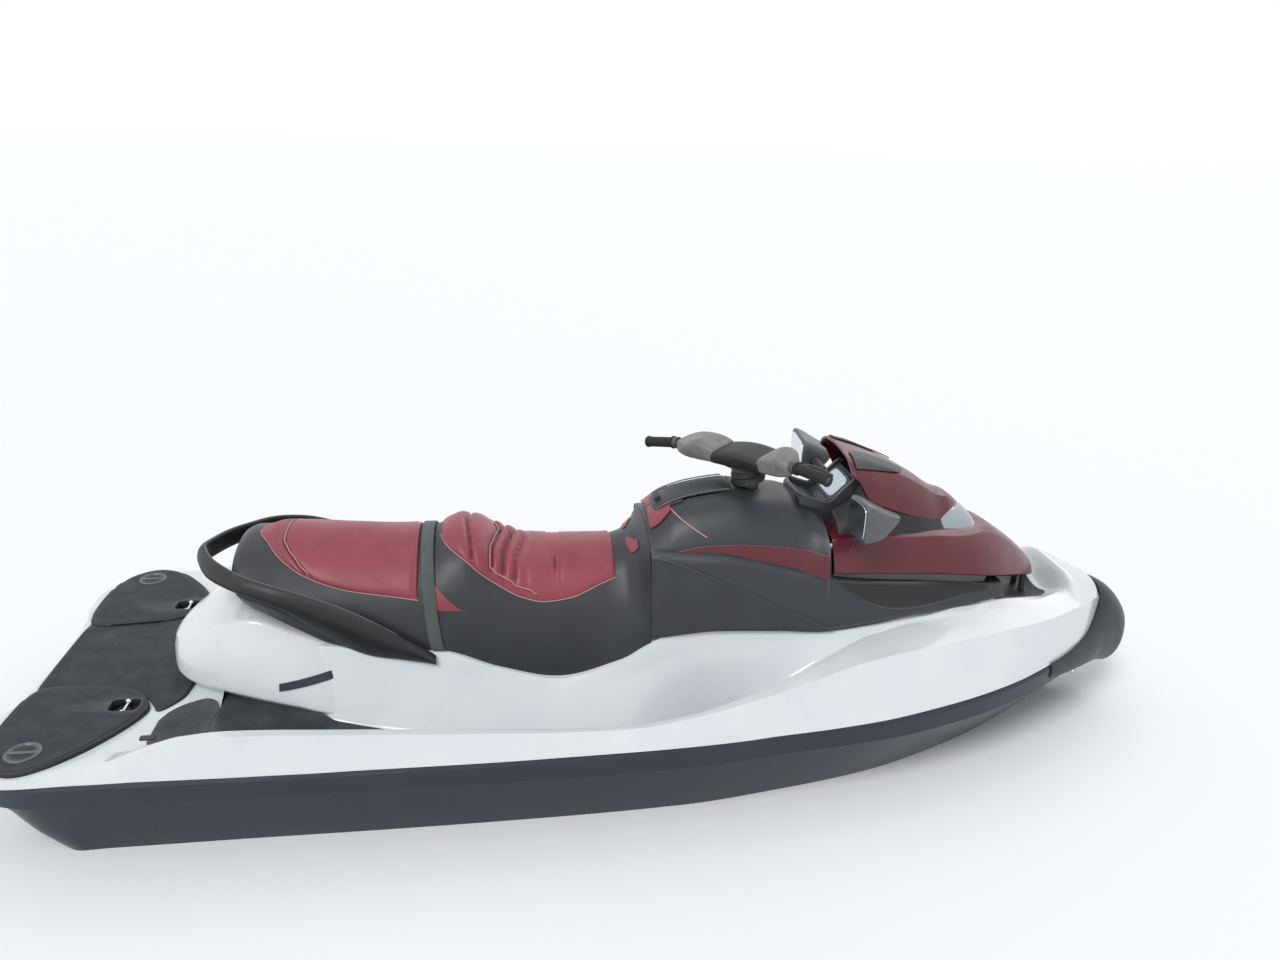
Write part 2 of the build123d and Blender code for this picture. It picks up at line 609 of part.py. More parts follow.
with BuildPart() as ring_caps:
    with Locations(*[(RING_CAP_X, side * RING_CAP_Y, PLATFORM_Z + MAT_RAISED) for side in (1, -1)]):
        Cylinder(RING_CAP_RADIUS, 5, align=FROM_BASE)
        Cylinder(RING_CAP_RADIUS - 9, 3, align=FROM_BASE, mode=Mode.SUBTRACT)
    with Locations(*[(RING_CAP_X, side * RING_CAP_Y, PLATFORM_Z + MAT_RAISED) for side in (1, -1)]):
        Box(2 * RING_CAP_RADIUS - 4, 9, 5, align=FROM_BASE)
save(ring_caps, "ring_caps")

with BuildPart() as mooring_bars:
    for side in (1, -1):
        edge = side * (CUP_Y - CUP_WIDE / 2)
        with Locations(Plane(origin=(CUP_X, edge, PLATFORM_Z + 5), z_dir=(0, side, 0))):
            Cylinder(5, CUP_WIDE, align=FROM_BASE)
save(mooring_bars, "mooring_bars")

# Grab rail: a loop round the back of the seat, cut from a plan ring by a side profile
with BuildPart() as grab_rail:
    with BuildSketch(Plane.XY.offset(330)):
        with BuildLine():
            Line((-622, 302), (-1020, 302))
            ThreePointArc((-1020, 302), (-1222, 202), (-1302, 0))
            ThreePointArc((-1302, 0), (-1222, -202), (-1020, -302))
            Line((-1020, -302), (-622, -302))
            Line((-622, -302), (-622, -272))
            Line((-622, -272), (-1010, -272))
            ThreePointArc((-1010, -272), (-1194, -182), (-1264, 0))
            ThreePointArc((-1264, 0), (-1194, 182), (-1010, 272))
            Line((-1010, 272), (-622, 272))
            Line((-622, 272), (-622, 302))
        make_face()
    extrude(amount=310)
    rail_side = [(-620, 336), (-620, 420), (-700, 478), (-840, 547), (-1020, 588), (-1140, 598), (-1304, 600),
                 (-1304, 528), (-1200, 508), (-1096, 500), (-980, 461), (-790, 392), (-690, 350)]
    add(profiled(rail_side, 400), mode=Mode.INTERSECT)
    add(deck.part, mode=Mode.SUBTRACT)
save(grab_rail, "grab_rail")

# Seats, with the strap that passes over the join
with BuildPart() as seat_rear:
    add(lofted(SEAT_REAR, seat_outline, SEAT_STEP))
    add(deck.part, mode=Mode.SUBTRACT)
save(seat_rear, "seat_rear")

with BuildPart() as seat_front:
    add(lofted(SEAT_FRONT, seat_outline, SEAT_STEP))
    add(deck.part, mode=Mode.SUBTRACT)
save(seat_front, "seat_front")


def strap_outline(row):
    x, foot, foot_z, waist, waist_z, shoulder, shoulder_z, crown = row
    grown = STRAP_THICK
    return seat_outline((x, foot + grown, foot_z, waist + grown, waist_z + grown / 2, shoulder + grown / 2,
                         shoulder_z + grown, crown + grown))


with BuildPart() as seat_strap:
    rows = faired(SEAT_REAR, SEAT_STEP)[-2:]
    add(lofted(rows, strap_outline, 10 * SEAT_STEP))
    add(seat_rear.part, mode=Mode.SUBTRACT)
    add(deck.part, mode=Mode.SUBTRACT)
save(seat_strap, "seat_strap")


# Side panels
def side_panel_outline(side, row):
    x, foot, foot_z, top, top_z = row
    return [(side * foot, foot_z), (side * top, top_z), (side * (top - PANEL_THICK), top_z),
            (side * (foot - PANEL_THICK), foot_z)]


side_panels = []
for side, name in ((1, "side_panel_port"), (-1, "side_panel_starboard")):
    with BuildPart() as side_panel:
        add(lofted(SIDE_PANEL, lambda row: side_panel_outline(side, row)))
        add(deck.part, mode=Mode.SUBTRACT)
    save(side_panel, name)
    side_panels.append(side_panel.part)

# Steering axis and the frames on it
rake = math.radians(STEER_RAKE)
STEER_AXIS = Vector(-math.sin(rake), 0, math.cos(rake))
STEER_FOOT = Vector(STEER_X, 0, STEER_Z)
STEER_AHEAD = Vector(math.cos(rake), 0, math.sin(rake))
turned = math.radians(STEER_REST)
BAR_AHEAD = STEER_AHEAD * math.cos(turned) + Vector(0, math.sin(turned), 0)
BAR_FRAME = Plane(origin=STEER_FOOT, x_dir=BAR_AHEAD, z_dir=STEER_AXIS)


def rod(start, end, radius):
    """Round bar between two points."""
    start, end = Vector(start), Vector(end)
    with BuildPart() as bar:
        with Locations(Plane(origin=start, z_dir=end - start)):
            Cylinder(radius, (end - start).length, align=FROM_BASE)
    return bar.part


with BuildPart() as steering_column:
    add(rod(STEER_FOOT - STEER_AXIS * 90, STEER_FOOT - STEER_AXIS * FIT, COLUMN_RADIUS))
save(steering_column, "steering_column")


def lid_knuckle(radius):
    """Barrel of the glove box lid's hinge, along the hinge's axis."""
    half = GLOVE_HALF - LID_MARGIN
    return rod((LID_HINGE_X, -half, LID_HINGE_Z), (LID_HINGE_X, half, LID_HINGE_Z), radius)


# Console with the glove box's hollow
with BuildPart() as console:
    add(lofted(CONSOLE, seat_outline, CONSOLE_STEP))
    with Locations(((GLOVE_X0 + GLOVE_X1) / 2, 0, GLOVE_FLOOR)):
        Box(GLOVE_X1 - GLOVE_X0, 2 * GLOVE_HALF, 300, align=FROM_BASE, mode=Mode.SUBTRACT)
    for panel in side_panels:
        add(panel, mode=Mode.SUBTRACT)
    add(deck.part, mode=Mode.SUBTRACT)
    add(steering_column.part, mode=Mode.SUBTRACT)
    add(lid_knuckle(LID_KNUCKLE + FIT), mode=Mode.SUBTRACT)
save(console, "console")


def lid_outline(row):
    x, foot, foot_z, waist, waist_z, shoulder, shoulder_z, crown = row
    half = GLOVE_HALF + LID_MARGIN
    edge_z = crown - (crown - shoulder_z) * half / shoulder
    return [(half, edge_z + LID_SEAT), (half, edge_z + LID_THICK - 2), (0, crown + LID_THICK),
            (-half, edge_z + LID_THICK - 2), (-half, edge_z + LID_SEAT), (0, crown + LID_SEAT)]


with BuildPart() as glovebox_lid:
    rows = [row for row in faired(CONSOLE, CONSOLE_STEP) if LID_AFT <= row[0] <= LID_FORE]
    add(lofted(rows, lid_outline, 10 * CONSOLE_STEP))
    add(lid_knuckle(LID_KNUCKLE))
save(glovebox_lid, "glovebox_lid")

# Gauge pod, a scoop that reaches under the hood's rear edge, with its glass
GAUGE_LONG, GAUGE_WIDE = 96.0, 126.0
POD_HALF, POD_WALL = 92.0, 8.0
GAUGE_FACE = Plane(origin=(643, 0, 789), x_dir=(0, -1, 0), z_dir=(-0.725, 0, 0.688))
with BuildPart() as gauge_pod:
    pod_side = [(500, 752), (590, 708), (690, 706), (700, 716), (694, 822), (640, 850), (530, 818), (496, 786)]
    add(profiled(pod_side, POD_HALF))
    pod_hollow = [(480, 900), (512, 800), (588, 742), (606, 750), (680, 828), (664, 900)]
    add(profiled(pod_hollow, POD_HALF - POD_WALL), mode=Mode.SUBTRACT)
    with Locations(GAUGE_FACE):
        Box(GAUGE_WIDE, GAUGE_LONG, 12, mode=Mode.SUBTRACT)
    add(console.part, mode=Mode.SUBTRACT)
save(gauge_pod, "gauge_pod")

with BuildPart() as gauge_glass:
    with Locations(GAUGE_FACE.offset(-6)):
        Box(GAUGE_WIDE - 2 * FIT, GAUGE_LONG - 2 * FIT, 4, align=FROM_BASE)
save(gauge_glass, "gauge_glass")

# Front storage bin
with BuildPart() as storage_bin:
    with Locations(((BIN_X0 + BIN_X1) / 2, 0, BIN_Z0)):
        Box(BIN_X1 - BIN_X0, 2 * BIN_HALF, BIN_Z1 - BIN_Z0, align=FROM_BASE)
    opened = storage_bin.faces().sort_by(Axis.Z)[-1]
    offset(amount=-BIN_WALL, openings=opened)
save(storage_bin, "storage_bin")

# Handlebar: hub, bent tube, cover, grips and levers, all in the turned frame of the bars
# Half of the tube's route, port side: ahead of the axis, out, and up along the axis
BAR_ROUTE = [(-62, 375, 100), (-52, 255, 112), (-38, 180, 110), (-6, 84, 52), (0, 40, 46)]
with BuildPart() as handlebar:
    with BuildLine(BAR_FRAME) as route:
        points = BAR_ROUTE + [(u, -v, a) for u, v, a in reversed(BAR_ROUTE)]
        FilletPolyline(*points, radius=24)
    with BuildSketch(Plane(origin=route.line @ 0, z_dir=route.line % 0)):
        Circle(BAR_RADIUS)
    sweep()
    with Locations(BAR_FRAME):
        Cylinder(34, 60, align=FROM_BASE)
save(handlebar, "handlebar")


def bar_rod(start, end, radius):
    """Round bar between two points of the bars' own frame."""
    return rod(BAR_FRAME.from_local_coords(Vector(start)), BAR_FRAME.from_local_coords(Vector(end)), radius)


def on_bar(t):
    """Point of the straight grip, t from its inner end at 0 to its outer end at 1, port side."""
    outer, inner = BAR_ROUTE[0], BAR_ROUTE[1]
    return tuple(i + (o - i) * t for i, o in zip(inner, outer))


def other_side(point):
    return (point[0], -point[1], point[2])


with BuildPart() as grips:
    for flip in (tuple, other_side):
        add(bar_rod(flip(on_bar(0.1)), flip(on_bar(1.06)), GRIP_RADIUS))
    add(handlebar.part, mode=Mode.SUBTRACT)
save(grips, "grips")

with BuildPart() as levers:
    for flip in (tuple, other_side):
        add(bar_rod(flip(on_bar(-0.08)), flip(on_bar(0.07)), 19))
        add(bar_rod(flip((-40, 258, 108)), flip((-6, 268, 102)), 6))
        add(bar_rod(flip((-6, 262, 102)), flip((-14, 352, 92)), 6))
    add(handlebar.part, mode=Mode.SUBTRACT)
save(levers, "levers")

with BuildPart() as bar_cover:
    with BuildSketch(BAR_FRAME.offset(60 + FIT)):
        with BuildLine():
            half_cover = [(62, 64), (34, 200), (-10, 240), (-66, 236), (-76, 200), (-52, 64)]
            Polyline(half_cover + [(u, -v) for u, v in reversed(half_cover)], close=True)
        make_face()
    extrude(amount=34)
    with BuildSketch(BAR_FRAME.offset(60 + FIT + 34)):
        for side in (1, -1):
            with BuildLine():
                hump = [(58, 90), (28, 196), (-12, 236), (-64, 232), (-72, 196), (-50, 90)]
                Polyline([(u, side * v) for u, v in hump], close=True)
            make_face()
    extrude(amount=42)
    add(handlebar.part, mode=Mode.SUBTRACT)
    add(levers.part, mode=Mode.SUBTRACT)
save(bar_cover, "bar_cover")

# Hood: lower moulding with the nose, core, upper cover, lens, mirrors
with BuildPart() as pod_pocket:
    with Locations(((HOOD_AFT - RUN + POCKET_X) / 2, 0, NOSE_INSIDE)):
        Box(POCKET_X - HOOD_AFT + RUN, 2 * POCKET_HALF, 400, align=FROM_BASE)

with BuildPart() as hood_nose:
    add(lofted(HOOD_LOWER, hood_lower_outline))
    with Locations(((CORE_AFT + CORE_FORE) / 2, 0, NOSE_INSIDE)):
        Box(CORE_FORE - CORE_AFT, 300, 110, align=FROM_BASE, mode=Mode.SUBTRACT)
    add(pod_pocket.part, mode=Mode.SUBTRACT)
    with Locations((HOOD_HINGE_X, 0, HOOD_HINGE_Z + 10)):
        Box(22, 36, 44)
    with Locations(Plane(origin=(HOOD_HINGE_X, 0, HOOD_HINGE_Z), z_dir=(0, 1, 0))):
        Cylinder(PIN_RADIUS + PIN_FIT, 60, mode=Mode.SUBTRACT)
save(hood_nose, "hood_nose")

with BuildPart() as hood_cover:
    add(lofted(HOOD_UPPER, hood_upper_outline))
save(hood_cover, "hood_cover")

with BuildPart() as hood_core:
    add(lofted(HOOD_CORE, pedestal_outline))
    add(pod_pocket.part, mode=Mode.SUBTRACT)
    add(hood_nose.part, mode=Mode.SUBTRACT)
    add(hood_cover.part, mode=Mode.SUBTRACT)
save(hood_core, "hood_core")

with BuildPart() as hood_lens:
    add(lofted(HOOD_LENS, pedestal_outline))
    add(hood_nose.part, mode=Mode.SUBTRACT)
    add(hood_cover.part, mode=Mode.SUBTRACT)
    add(hood_core.part, mode=Mode.SUBTRACT)
save(hood_lens, "hood_lens")

with BuildPart() as mirror_housings:
    for side in (1, -1):
        for along, wide, high in ((0, MIRROR_WIDE, MIRROR_HIGH), (MIRROR_LONG, MIRROR_TIP_WIDE, MIRROR_TIP_HIGH)):
            with BuildSketch(Plane(origin=(MIRROR_X + along, side * MIRROR_Y, MIRROR_Z), x_dir=(0, 1, 0),
                                   z_dir=(1, 0, 0))):
                Rectangle(wide, high)
        loft()
        arm_out = (MIRROR_X + 34, side * (MIRROR_Y - 40), MIRROR_Z - 6)
        arm_in = (MIRROR_X + 46, side * (POCKET_HALF + 14), MIRROR_Z - 20)
        add(rod(arm_out, arm_in, MIRROR_ARM))
    with Locations(*[(MIRROR_X, side * MIRROR_Y, MIRROR_Z) for side in (1, -1)]):
        Box(8, MIRROR_WIDE - 2 * MIRROR_RIM, MIRROR_HIGH - 2 * MIRROR_RIM, mode=Mode.SUBTRACT)
    add(hood_core.part, mode=Mode.SUBTRACT)
    add(hood_cover.part, mode=Mode.SUBTRACT)
save(mirror_housings, "mirror_housings")

with BuildPart() as mirror_glass:
    with Locations(*[(MIRROR_X + 2 - FIT, side * MIRROR_Y, MIRROR_Z) for side in (1, -1)]):
        Box(3, MIRROR_WIDE - 2 * (MIRROR_RIM + FIT), MIRROR_HIGH - 2 * (MIRROR_RIM + FIT))
save(mirror_glass, "mirror_glass")

with BuildPart() as hood_hinge:
    for side in (1, -1):
        with Locations((HOOD_HINGE_X, side * 26, HOOD_HINGE_Z)):
            Box(16, 10, 90, align=(Align.CENTER, Align.CENTER, Align.MAX))
        with Locations(Plane(origin=(HOOD_HINGE_X, side * 26, HOOD_HINGE_Z), z_dir=(0, 1, 0))):
            Cylinder(8, 10)
    with Locations(Plane(origin=(HOOD_HINGE_X, 0, HOOD_HINGE_Z), z_dir=(0, 1, 0))):
        Cylinder(PIN_RADIUS, 62)
    add(deck.part, mode=Mode.SUBTRACT)
save(hood_hinge, "hood_hinge")

# Fittings
def eye(origin, ahead, hole, outer, length):
    """Towing eye: a rounded plate with a hole across it, its foot at origin."""
    with BuildPart() as fitting:
        with BuildSketch(Plane(origin=origin, x_dir=ahead, z_dir=(0, 1, 0))):
            with Locations((length, 0)):
                Circle(outer)
            with Locations((length / 2, 0)):
                Rectangle(length, 2 * outer)
            with Locations((length, 0)):
                Circle(hole, mode=Mode.SUBTRACT)
        extrude(amount=6, both=True)
    return fitting.part


with BuildPart() as bow_eye:
    add(eye((1560, 0, 66), (1, 0, -0.2), 9, 19, 60))
    add(hull.part, mode=Mode.SUBTRACT)
    add(bow_bumper.part, mode=Mode.SUBTRACT)
save(bow_eye, "bow_eye")

with BuildPart() as stern_eyes:
    for side in (1, -1):
        add(eye((TRANSOM_X, side * 380, -66), (-1, 0, 0), 9, 18, 26))
    add(hull.part, mode=Mode.SUBTRACT)
save(stern_eyes, "stern_eyes")

with BuildPart() as drain_plugs:
    for side in (1, -1):
        with Locations(Plane(origin=(TRANSOM_X, side * 290, -92), z_dir=(-1, 0, 0))):
            Cylinder(15, 7, align=FROM_BASE)
            with Locations((0, 0, 7)):
                Box(22, 6, 8, align=FROM_BASE)
save(drain_plugs, "drain_plugs")

with BuildPart() as fuel_cap:
    with Locations(Plane(origin=(740, 366, 396), z_dir=(0.05, 0.3, 1))):
        Cylinder(36, 36, align=FROM_BASE)
    add(deck.part, mode=Mode.SUBTRACT)
save(fuel_cap, "fuel_cap")

# Boarding step, folded up under the platform
with BuildPart() as boarding_step:
    leg = Vector(-math.sqrt(0.5), 0, math.sqrt(0.5))
    for side in (1, -1):
        hinge = Vector(STEP_HINGE_X, side * STEP_HALF, STEP_HINGE_Z)
        add(rod(hinge, hinge + leg * STEP_REACH, STEP_TUBE))
        with Locations(Plane(origin=hinge, z_dir=(0, 1, 0))):
            Cylinder(STEP_TUBE + 1, 24)
        add(rod(hinge, hinge + Vector(0, side * 27, 0), PIN_RADIUS))
    tread_middle = Vector(STEP_HINGE_X, 0, STEP_HINGE_Z) + leg * STEP_REACH
    tread = Plane(origin=tread_middle, x_dir=leg, z_dir=(0.7071, 0, 0.7071))
    with Locations(tread):
        Box(56, 2 * STEP_HALF + 2 * STEP_TUBE, 18)
save(boarding_step, "boarding_step")
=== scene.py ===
"""Three-seat personal watercraft, afloat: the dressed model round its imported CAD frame.

Sizes are millimetres in the frame's own axes: +X bow, +Y port, +Z up, origin on the waterline.
"""

import logging
import math
from collections.abc import Callable, Sequence
from dataclasses import dataclass, field
from enum import Enum

import bmesh
import bpy
from mathutils import Matrix, Vector, noise


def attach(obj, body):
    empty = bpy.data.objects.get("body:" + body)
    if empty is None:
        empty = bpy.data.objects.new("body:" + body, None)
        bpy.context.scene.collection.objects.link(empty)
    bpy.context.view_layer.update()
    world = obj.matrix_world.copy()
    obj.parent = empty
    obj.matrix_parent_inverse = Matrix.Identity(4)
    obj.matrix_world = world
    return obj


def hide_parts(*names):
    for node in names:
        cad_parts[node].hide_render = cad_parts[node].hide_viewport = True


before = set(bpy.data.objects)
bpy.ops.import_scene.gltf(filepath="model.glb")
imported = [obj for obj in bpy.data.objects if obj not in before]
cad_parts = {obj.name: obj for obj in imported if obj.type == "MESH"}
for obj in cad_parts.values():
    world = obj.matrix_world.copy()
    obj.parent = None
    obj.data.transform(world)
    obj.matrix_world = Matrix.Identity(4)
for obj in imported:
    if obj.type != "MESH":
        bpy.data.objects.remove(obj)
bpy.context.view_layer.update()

MM = 0.001
Point = tuple[float, float, float]
Pair = tuple[float, float]
Row = tuple[float, list[Pair]]
Piece = bpy.types.Object
SIDES = ((1, "port"), (-1, "starboard"))
# Corners closer than this are one, in metres
MERGE = 1e-6
# Half size of the small face that a domed head is set on, in metres
HEAD_SEED = 1e-5
# Exponent that turns a circle into a square with rounded corners
SQUARENESS = 0.4
# Strips across half of a sewn panel
HALF_COLUMNS = 36
# Numbers of a mix node's colour sockets: its share, its two colours and its result
MIX_SHARE, MIX_FIRST, MIX_SECOND, MIX_RESULT = 0, 6, 7, 2
# Linear colour of an edge that handling has rubbed
RUBBED = (0.55, 0.55, 0.54, 1.0)
log = logging.getLogger("watercraft")


class Body(Enum):
    """The CAD bodies that this script's pieces ride on."""

    CRAFT = "craft"
    STEERING = "steering"
    HOOD = "hood"
    LID = "glovebox_lid"


class Relief(Enum):
    """How a finish's surface stands up from its own plane."""

    POLISHED = "polished"
    GRAIN = "grain"
    LEATHER = "leather"
    TREAD = "tread"
    WEAVE = "weave"
    CAST = "cast"
    BRUSHED = "brushed"


def linear(code: str) -> tuple[float, float, float, float]:
    """Turn an sRGB hex colour into the linear colour that a shader takes.

    Args:
        code: six hexadecimal digits, with or without a leading hash.

    Returns:
        Red, green, blue and alpha.
    """
    digits = code.lstrip("#")
    values = [int(digits[i:i + 2], 16) / 255 for i in (0, 2, 4)]
    red, green, blue = (v / 12.92 if v <= 0.04045 else ((v + 0.055) / 1.055) ** 2.4 for v in values)
    return (red, green, blue, 1.0)


def add_node(tree: bpy.types.NodeTree, kind: str, settings: dict | None = None,
             links: dict | None = None) -> bpy.types.Node:
    """Add a node with its settings and links.

    Args:
        tree: the tree that gets it.
        kind: the node's type name.
        settings: attributes by name, or socket values by input name or number.
        links: output sockets by the input name or number that they go into.

    Returns:
        The new node.
    """
    node = tree.nodes.new(kind)
    for key, value in (settings or {}).items():
        if isinstance(key, int) or key in node.inputs:
            node.inputs[key].default_value = value
        else:
            setattr(node, key, value)
    for key, output in (links or {}).items():
        tree.links.new(output, node.inputs[key])
    return node


def mapped(tree: bpy.types.NodeTree, value: bpy.types.NodeSocket, span: Pair,
           target: Pair) -> bpy.types.NodeSocket:
    """Carry a value from one span over to another.

    Args:
        tree: the tree that does it.
        value: the value's socket.
        span: its lowest and its highest value.
        target: what they become.

    Returns:
        The result's socket.
    """
    settings = {"From Min": span[0], "From Max": span[1], "To Min": target[0], "To Max": target[1]}
    return add_node(tree, "ShaderNodeMapRange", settings, {"Value": value}).outputs[0]


@dataclass(frozen=True)
class Finish:
    """One surface finish, built as a procedural material.

    Attributes:
        name: the finish in a maker's words.
        slot: the record's material slot that it belongs to; not used.
        colour: its main sRGB colour.
        shade: the colour that it drifts to in dirt, wear or folds.
        roughness: the mean roughness.
        relief: the kind of surface relief.
        pitch: distance between grains, threads or studs, in millimetres.
        depth: height of the relief, in millimetres.
        patch: size of the blotches of the second colour, in millimetres.
        drift: how far the colour goes over to the second one, 0 to 1.
        wear: how much edges lighten, 0 to 1.
        metallic: 1 for a metal.
        coat: weight of a clear coat.
        sheen: weight of a fibre or dust sheen.
    """

    name: str
    slot: str
    colour: str
    shade: str
    roughness: float
    relief: Relief = Relief.POLISHED
    pitch: float = 1.0
    depth: float = 0.0
    patch: float = 180.0
    drift: float = 0.35
    wear: float = 0.0
    metallic: float = 0.0
    coat: float = 0.0
    sheen: float = 0.0

    def material(self) -> bpy.types.Material:
        """Return this finish's material, made at its first use."""
        found = bpy.data.materials.get(self.name)
        if found:
            return found
        made = bpy.data.materials.new(self.name)
        made.use_nodes = True
        tree = made.node_tree
        tree.nodes.clear()
        place = add_node(tree, "ShaderNodeTexCoord").outputs["Object"]
        blotch = add_node(tree, "ShaderNodeTexNoise",
                          {"Scale": 1 / (self.patch * MM), "Detail": 6.0, "Roughness": 0.62},
                          {"Vector": place})
        blotches = blotch.outputs["Fac"]
        tint = add_node(tree, "ShaderNodeMix", {"data_type": "RGBA"},
                        {MIX_SHARE: mapped(tree, blotches, (0.42, 0.72), (0.0, self.drift))})
        tint.inputs[MIX_FIRST].default_value = linear(self.colour)
        tint.inputs[MIX_SECOND].default_value = linear(self.shade)
        colour = tint.outputs[MIX_RESULT]
        if self.wear:
            colour = self.worn(tree, colour)
        dull = (max(self.roughness - 0.06, 0.02), min(self.roughness + 0.09, 1.0))
        rough = mapped(tree, blotches, (0.3, 0.7), dull)
        shader = add_node(tree, "ShaderNodeBsdfPrincipled",
                          {"Metallic": self.metallic, "Coat Weight": self.coat, "Coat Roughness": 0.06,
                           "Sheen Weight": self.sheen},
                          {"Base Color": colour, "Roughness": rough})
        if self.depth:
            height = self.height(tree, place)
            bump = add_node(tree, "ShaderNodeBump", {"Strength": 0.9, "Distance": self.depth * MM},
                            {"Height": height})
            tree.links.new(bump.outputs[0], shader.inputs["Normal"])
        add_node(tree, "ShaderNodeOutputMaterial", links={"Surface": shader.outputs[0]})
        return made

    def worn(self, tree: bpy.types.NodeTree, colour: bpy.types.NodeSocket) -> bpy.types.NodeSocket:
        """Lighten the edges, where handling rubs them.

        Args:
            tree: the material's tree.
            colour: the colour so far.

        Returns:
            The worn colour.
        """
        bend = add_node(tree, "ShaderNodeNewGeometry").outputs["Pointiness"]
        edge = mapped(tree, bend, (0.52, 0.62), (0.0, self.wear))
        rubbed = add_node(tree, "ShaderNodeMix", {"data_type": "RGBA"}, {MIX_SHARE: edge, MIX_FIRST: colour})
        rubbed.inputs[MIX_SECOND].default_value = RUBBED
        return rubbed.outputs[MIX_RESULT]

    def height(self, tree: bpy.types.NodeTree, place: bpy.types.NodeSocket) -> bpy.types.NodeSocket:
        """Build the relief's height pattern at its real pitch.

        Args:
            tree: the material's tree.
            place: the object coordinates.

        Returns:
            The height socket.
        """
        scale = 1 / (self.pitch * MM)

        def texture(kind: str, settings: dict, vector: bpy.types.NodeSocket = place) -> bpy.types.Node:
            """Texture node on the object coordinates or on another vector."""
            return add_node(tree, f"ShaderNodeTex{kind}", settings, {"Vector": vector})

        def mixed(operation: str, links: dict, settings: dict | None = None) -> bpy.types.NodeSocket:
            """Result of a sum on sockets."""
            return add_node(tree, "ShaderNodeMath", {"operation": operation, **(settings or {})},
                            links).outputs[0]

        if self.relief is Relief.LEATHER:
            cells = texture("Voronoi", {"Scale": scale, "feature": "SMOOTH_F1"})
            folds = texture("Noise", {"Scale": scale / 9, "Detail": 5.0})
            return mixed("MULTIPLY_ADD", {0: folds.outputs["Fac"], 2: cells.outputs["Distance"]}, {1: 3.0})
        if self.relief is Relief.TREAD:
            studs = texture("Voronoi", {"Scale": scale, "distance": "CHEBYCHEV"})
            grit = texture("Noise", {"Scale": 3 * scale, "Detail": 4.0})
            return mixed("SUBTRACT", {0: grit.outputs["Fac"], 1: studs.outputs["Distance"]})
        if self.relief is Relief.WEAVE:
            warp, weft = (texture("Wave", {"Scale": scale / 3.1, "bands_direction": way}) for way in "XZ")
            return mixed("MULTIPLY", {0: warp.outputs["Fac"], 1: weft.outputs["Fac"]})
        if self.relief is Relief.BRUSHED:
            along = add_node(tree, "ShaderNodeMapping", {"Scale": (0.04, 1.0, 1.0)}, {"Vector": place})
            return texture("Noise", {"Scale": scale, "Detail": 3.0}, along.outputs[0]).outputs["Fac"]
        detail = 8.0 if self.relief is Relief.CAST else 3.0
        return texture("Noise", {"Scale": scale, "Detail": detail}).outputs["Fac"]


# Polished gelcoat: a glassy white with soft water marks and a faint waviness
GELCOAT = Finish("white_gelcoat", "white", "DEE2E4", "CBD1D6", 0.16, Relief.GRAIN, 60.0, 0.10, 260.0,
                 0.45, coat=0.35)
# Gelcoat in dark blue-black, dulled by water
HULL_GEL = Finish("navy_gelcoat", "navy", "0F1A28", "1B2A3B", 0.3, Relief.GRAIN, 40.0, 0.15, 150.0, 0.5,
                  coat=0.2)
# Soft bumper moulding: semi-matt with a fine sand grain
BUMPER = Finish("moulded_bumper_rubber", "black", "141B25", "202A36", 0.42, Relief.GRAIN, 1.4, 0.08,
                90.0, 0.4, wear=0.1)
# Injection-moulded black plastic with a spark-eroded grain; also the painted shade strip under the hood's
# edge
BLACK = Finish("black_plastic_and_painted_shade", "black", "17191C", "24272B", 0.5, Relief.GRAIN, 1.2, 0.08, 70.0,
               0.4, wear=0.16)
# Charcoal plastic panels, lightly faded by the sun
CHARCOAL = Finish("charcoal_plastic", "charcoal", "2C3036", "393D43", 0.42, Relief.GRAIN, 1.3, 0.06,
                  160.0, 0.5, wear=0.08)
# Silver-grey painted plastic of the mirrors, the ring caps and the trim lines; also the painted highlight
# along the grab rail's top edge
GREY = Finish("grey_plastic_and_painted_highlight", "charcoal", "55595D", "474B50", 0.38, Relief.GRAIN, 1.2, 0.03,
              60.0, 0.4, wear=0.1, coat=0.1)
# Metallic maroon paint under a clear coat
MAROON = Finish("maroon_metallic_paint", "maroon", "5A0C20", "470A19", 0.34, Relief.GRAIN, 0.9, 0.015,
                120.0, 0.5, coat=0.25)
# Dark red marine vinyl over foam, chalked where the sun and riders wear it
VINYL_RED = Finish("red_marine_vinyl", "vinyl_red", "8E3B47", "7A2A37", 0.42, Relief.LEATHER, 3.0, 0.14,
                   110.0, 0.7, sheen=0.12)
# Charcoal marine vinyl on the flanks
VINYL_GREY = Finish("charcoal_marine_vinyl", "charcoal", "2B2E34", "232529", 0.46, Relief.LEATHER, 3.0,
                    0.12, 120.0, 0.6, sheen=0.08)
# Foam traction mat: dull, brushed, bleached in patches; also run up the pedestal's foot as painted shade
# under the rear pod
TREAD = Finish("traction_mat_and_painted_shade", "rubber", "2C3036", "4A4D50", 0.86, Relief.TREAD, 7.0, 0.9, 70.0,
               0.75, wear=0.25)
# The mats' smooth raised edging
EDGING = Finish("mat_edging_rubber", "rubber", "171B21", "272C33", 0.5, Relief.GRAIN, 2.0, 0.1, 60.0, 0.5)
# Pale sewn piping
PIPING = Finish("pale_vinyl_piping", "vinyl_red", "B9908F", "A27C7C", 0.5, Relief.LEATHER, 1.5, 0.05,
                40.0, 0.4)
# Nylon webbing, salt-bleached
WEBBING = Finish("grey_nylon_webbing", "strap", "4A5150", "5F6663", 0.8, Relief.WEAVE, 1.6, 0.35, 50.0,
                 0.6, sheen=0.2)
# Polished stainless steel
STEEL = Finish("polished_stainless", "steel", "D0D2D4", "B9BCBF", 0.16, Relief.BRUSHED, 0.8, 0.02, 60.0,
               0.4, metallic=1.0)
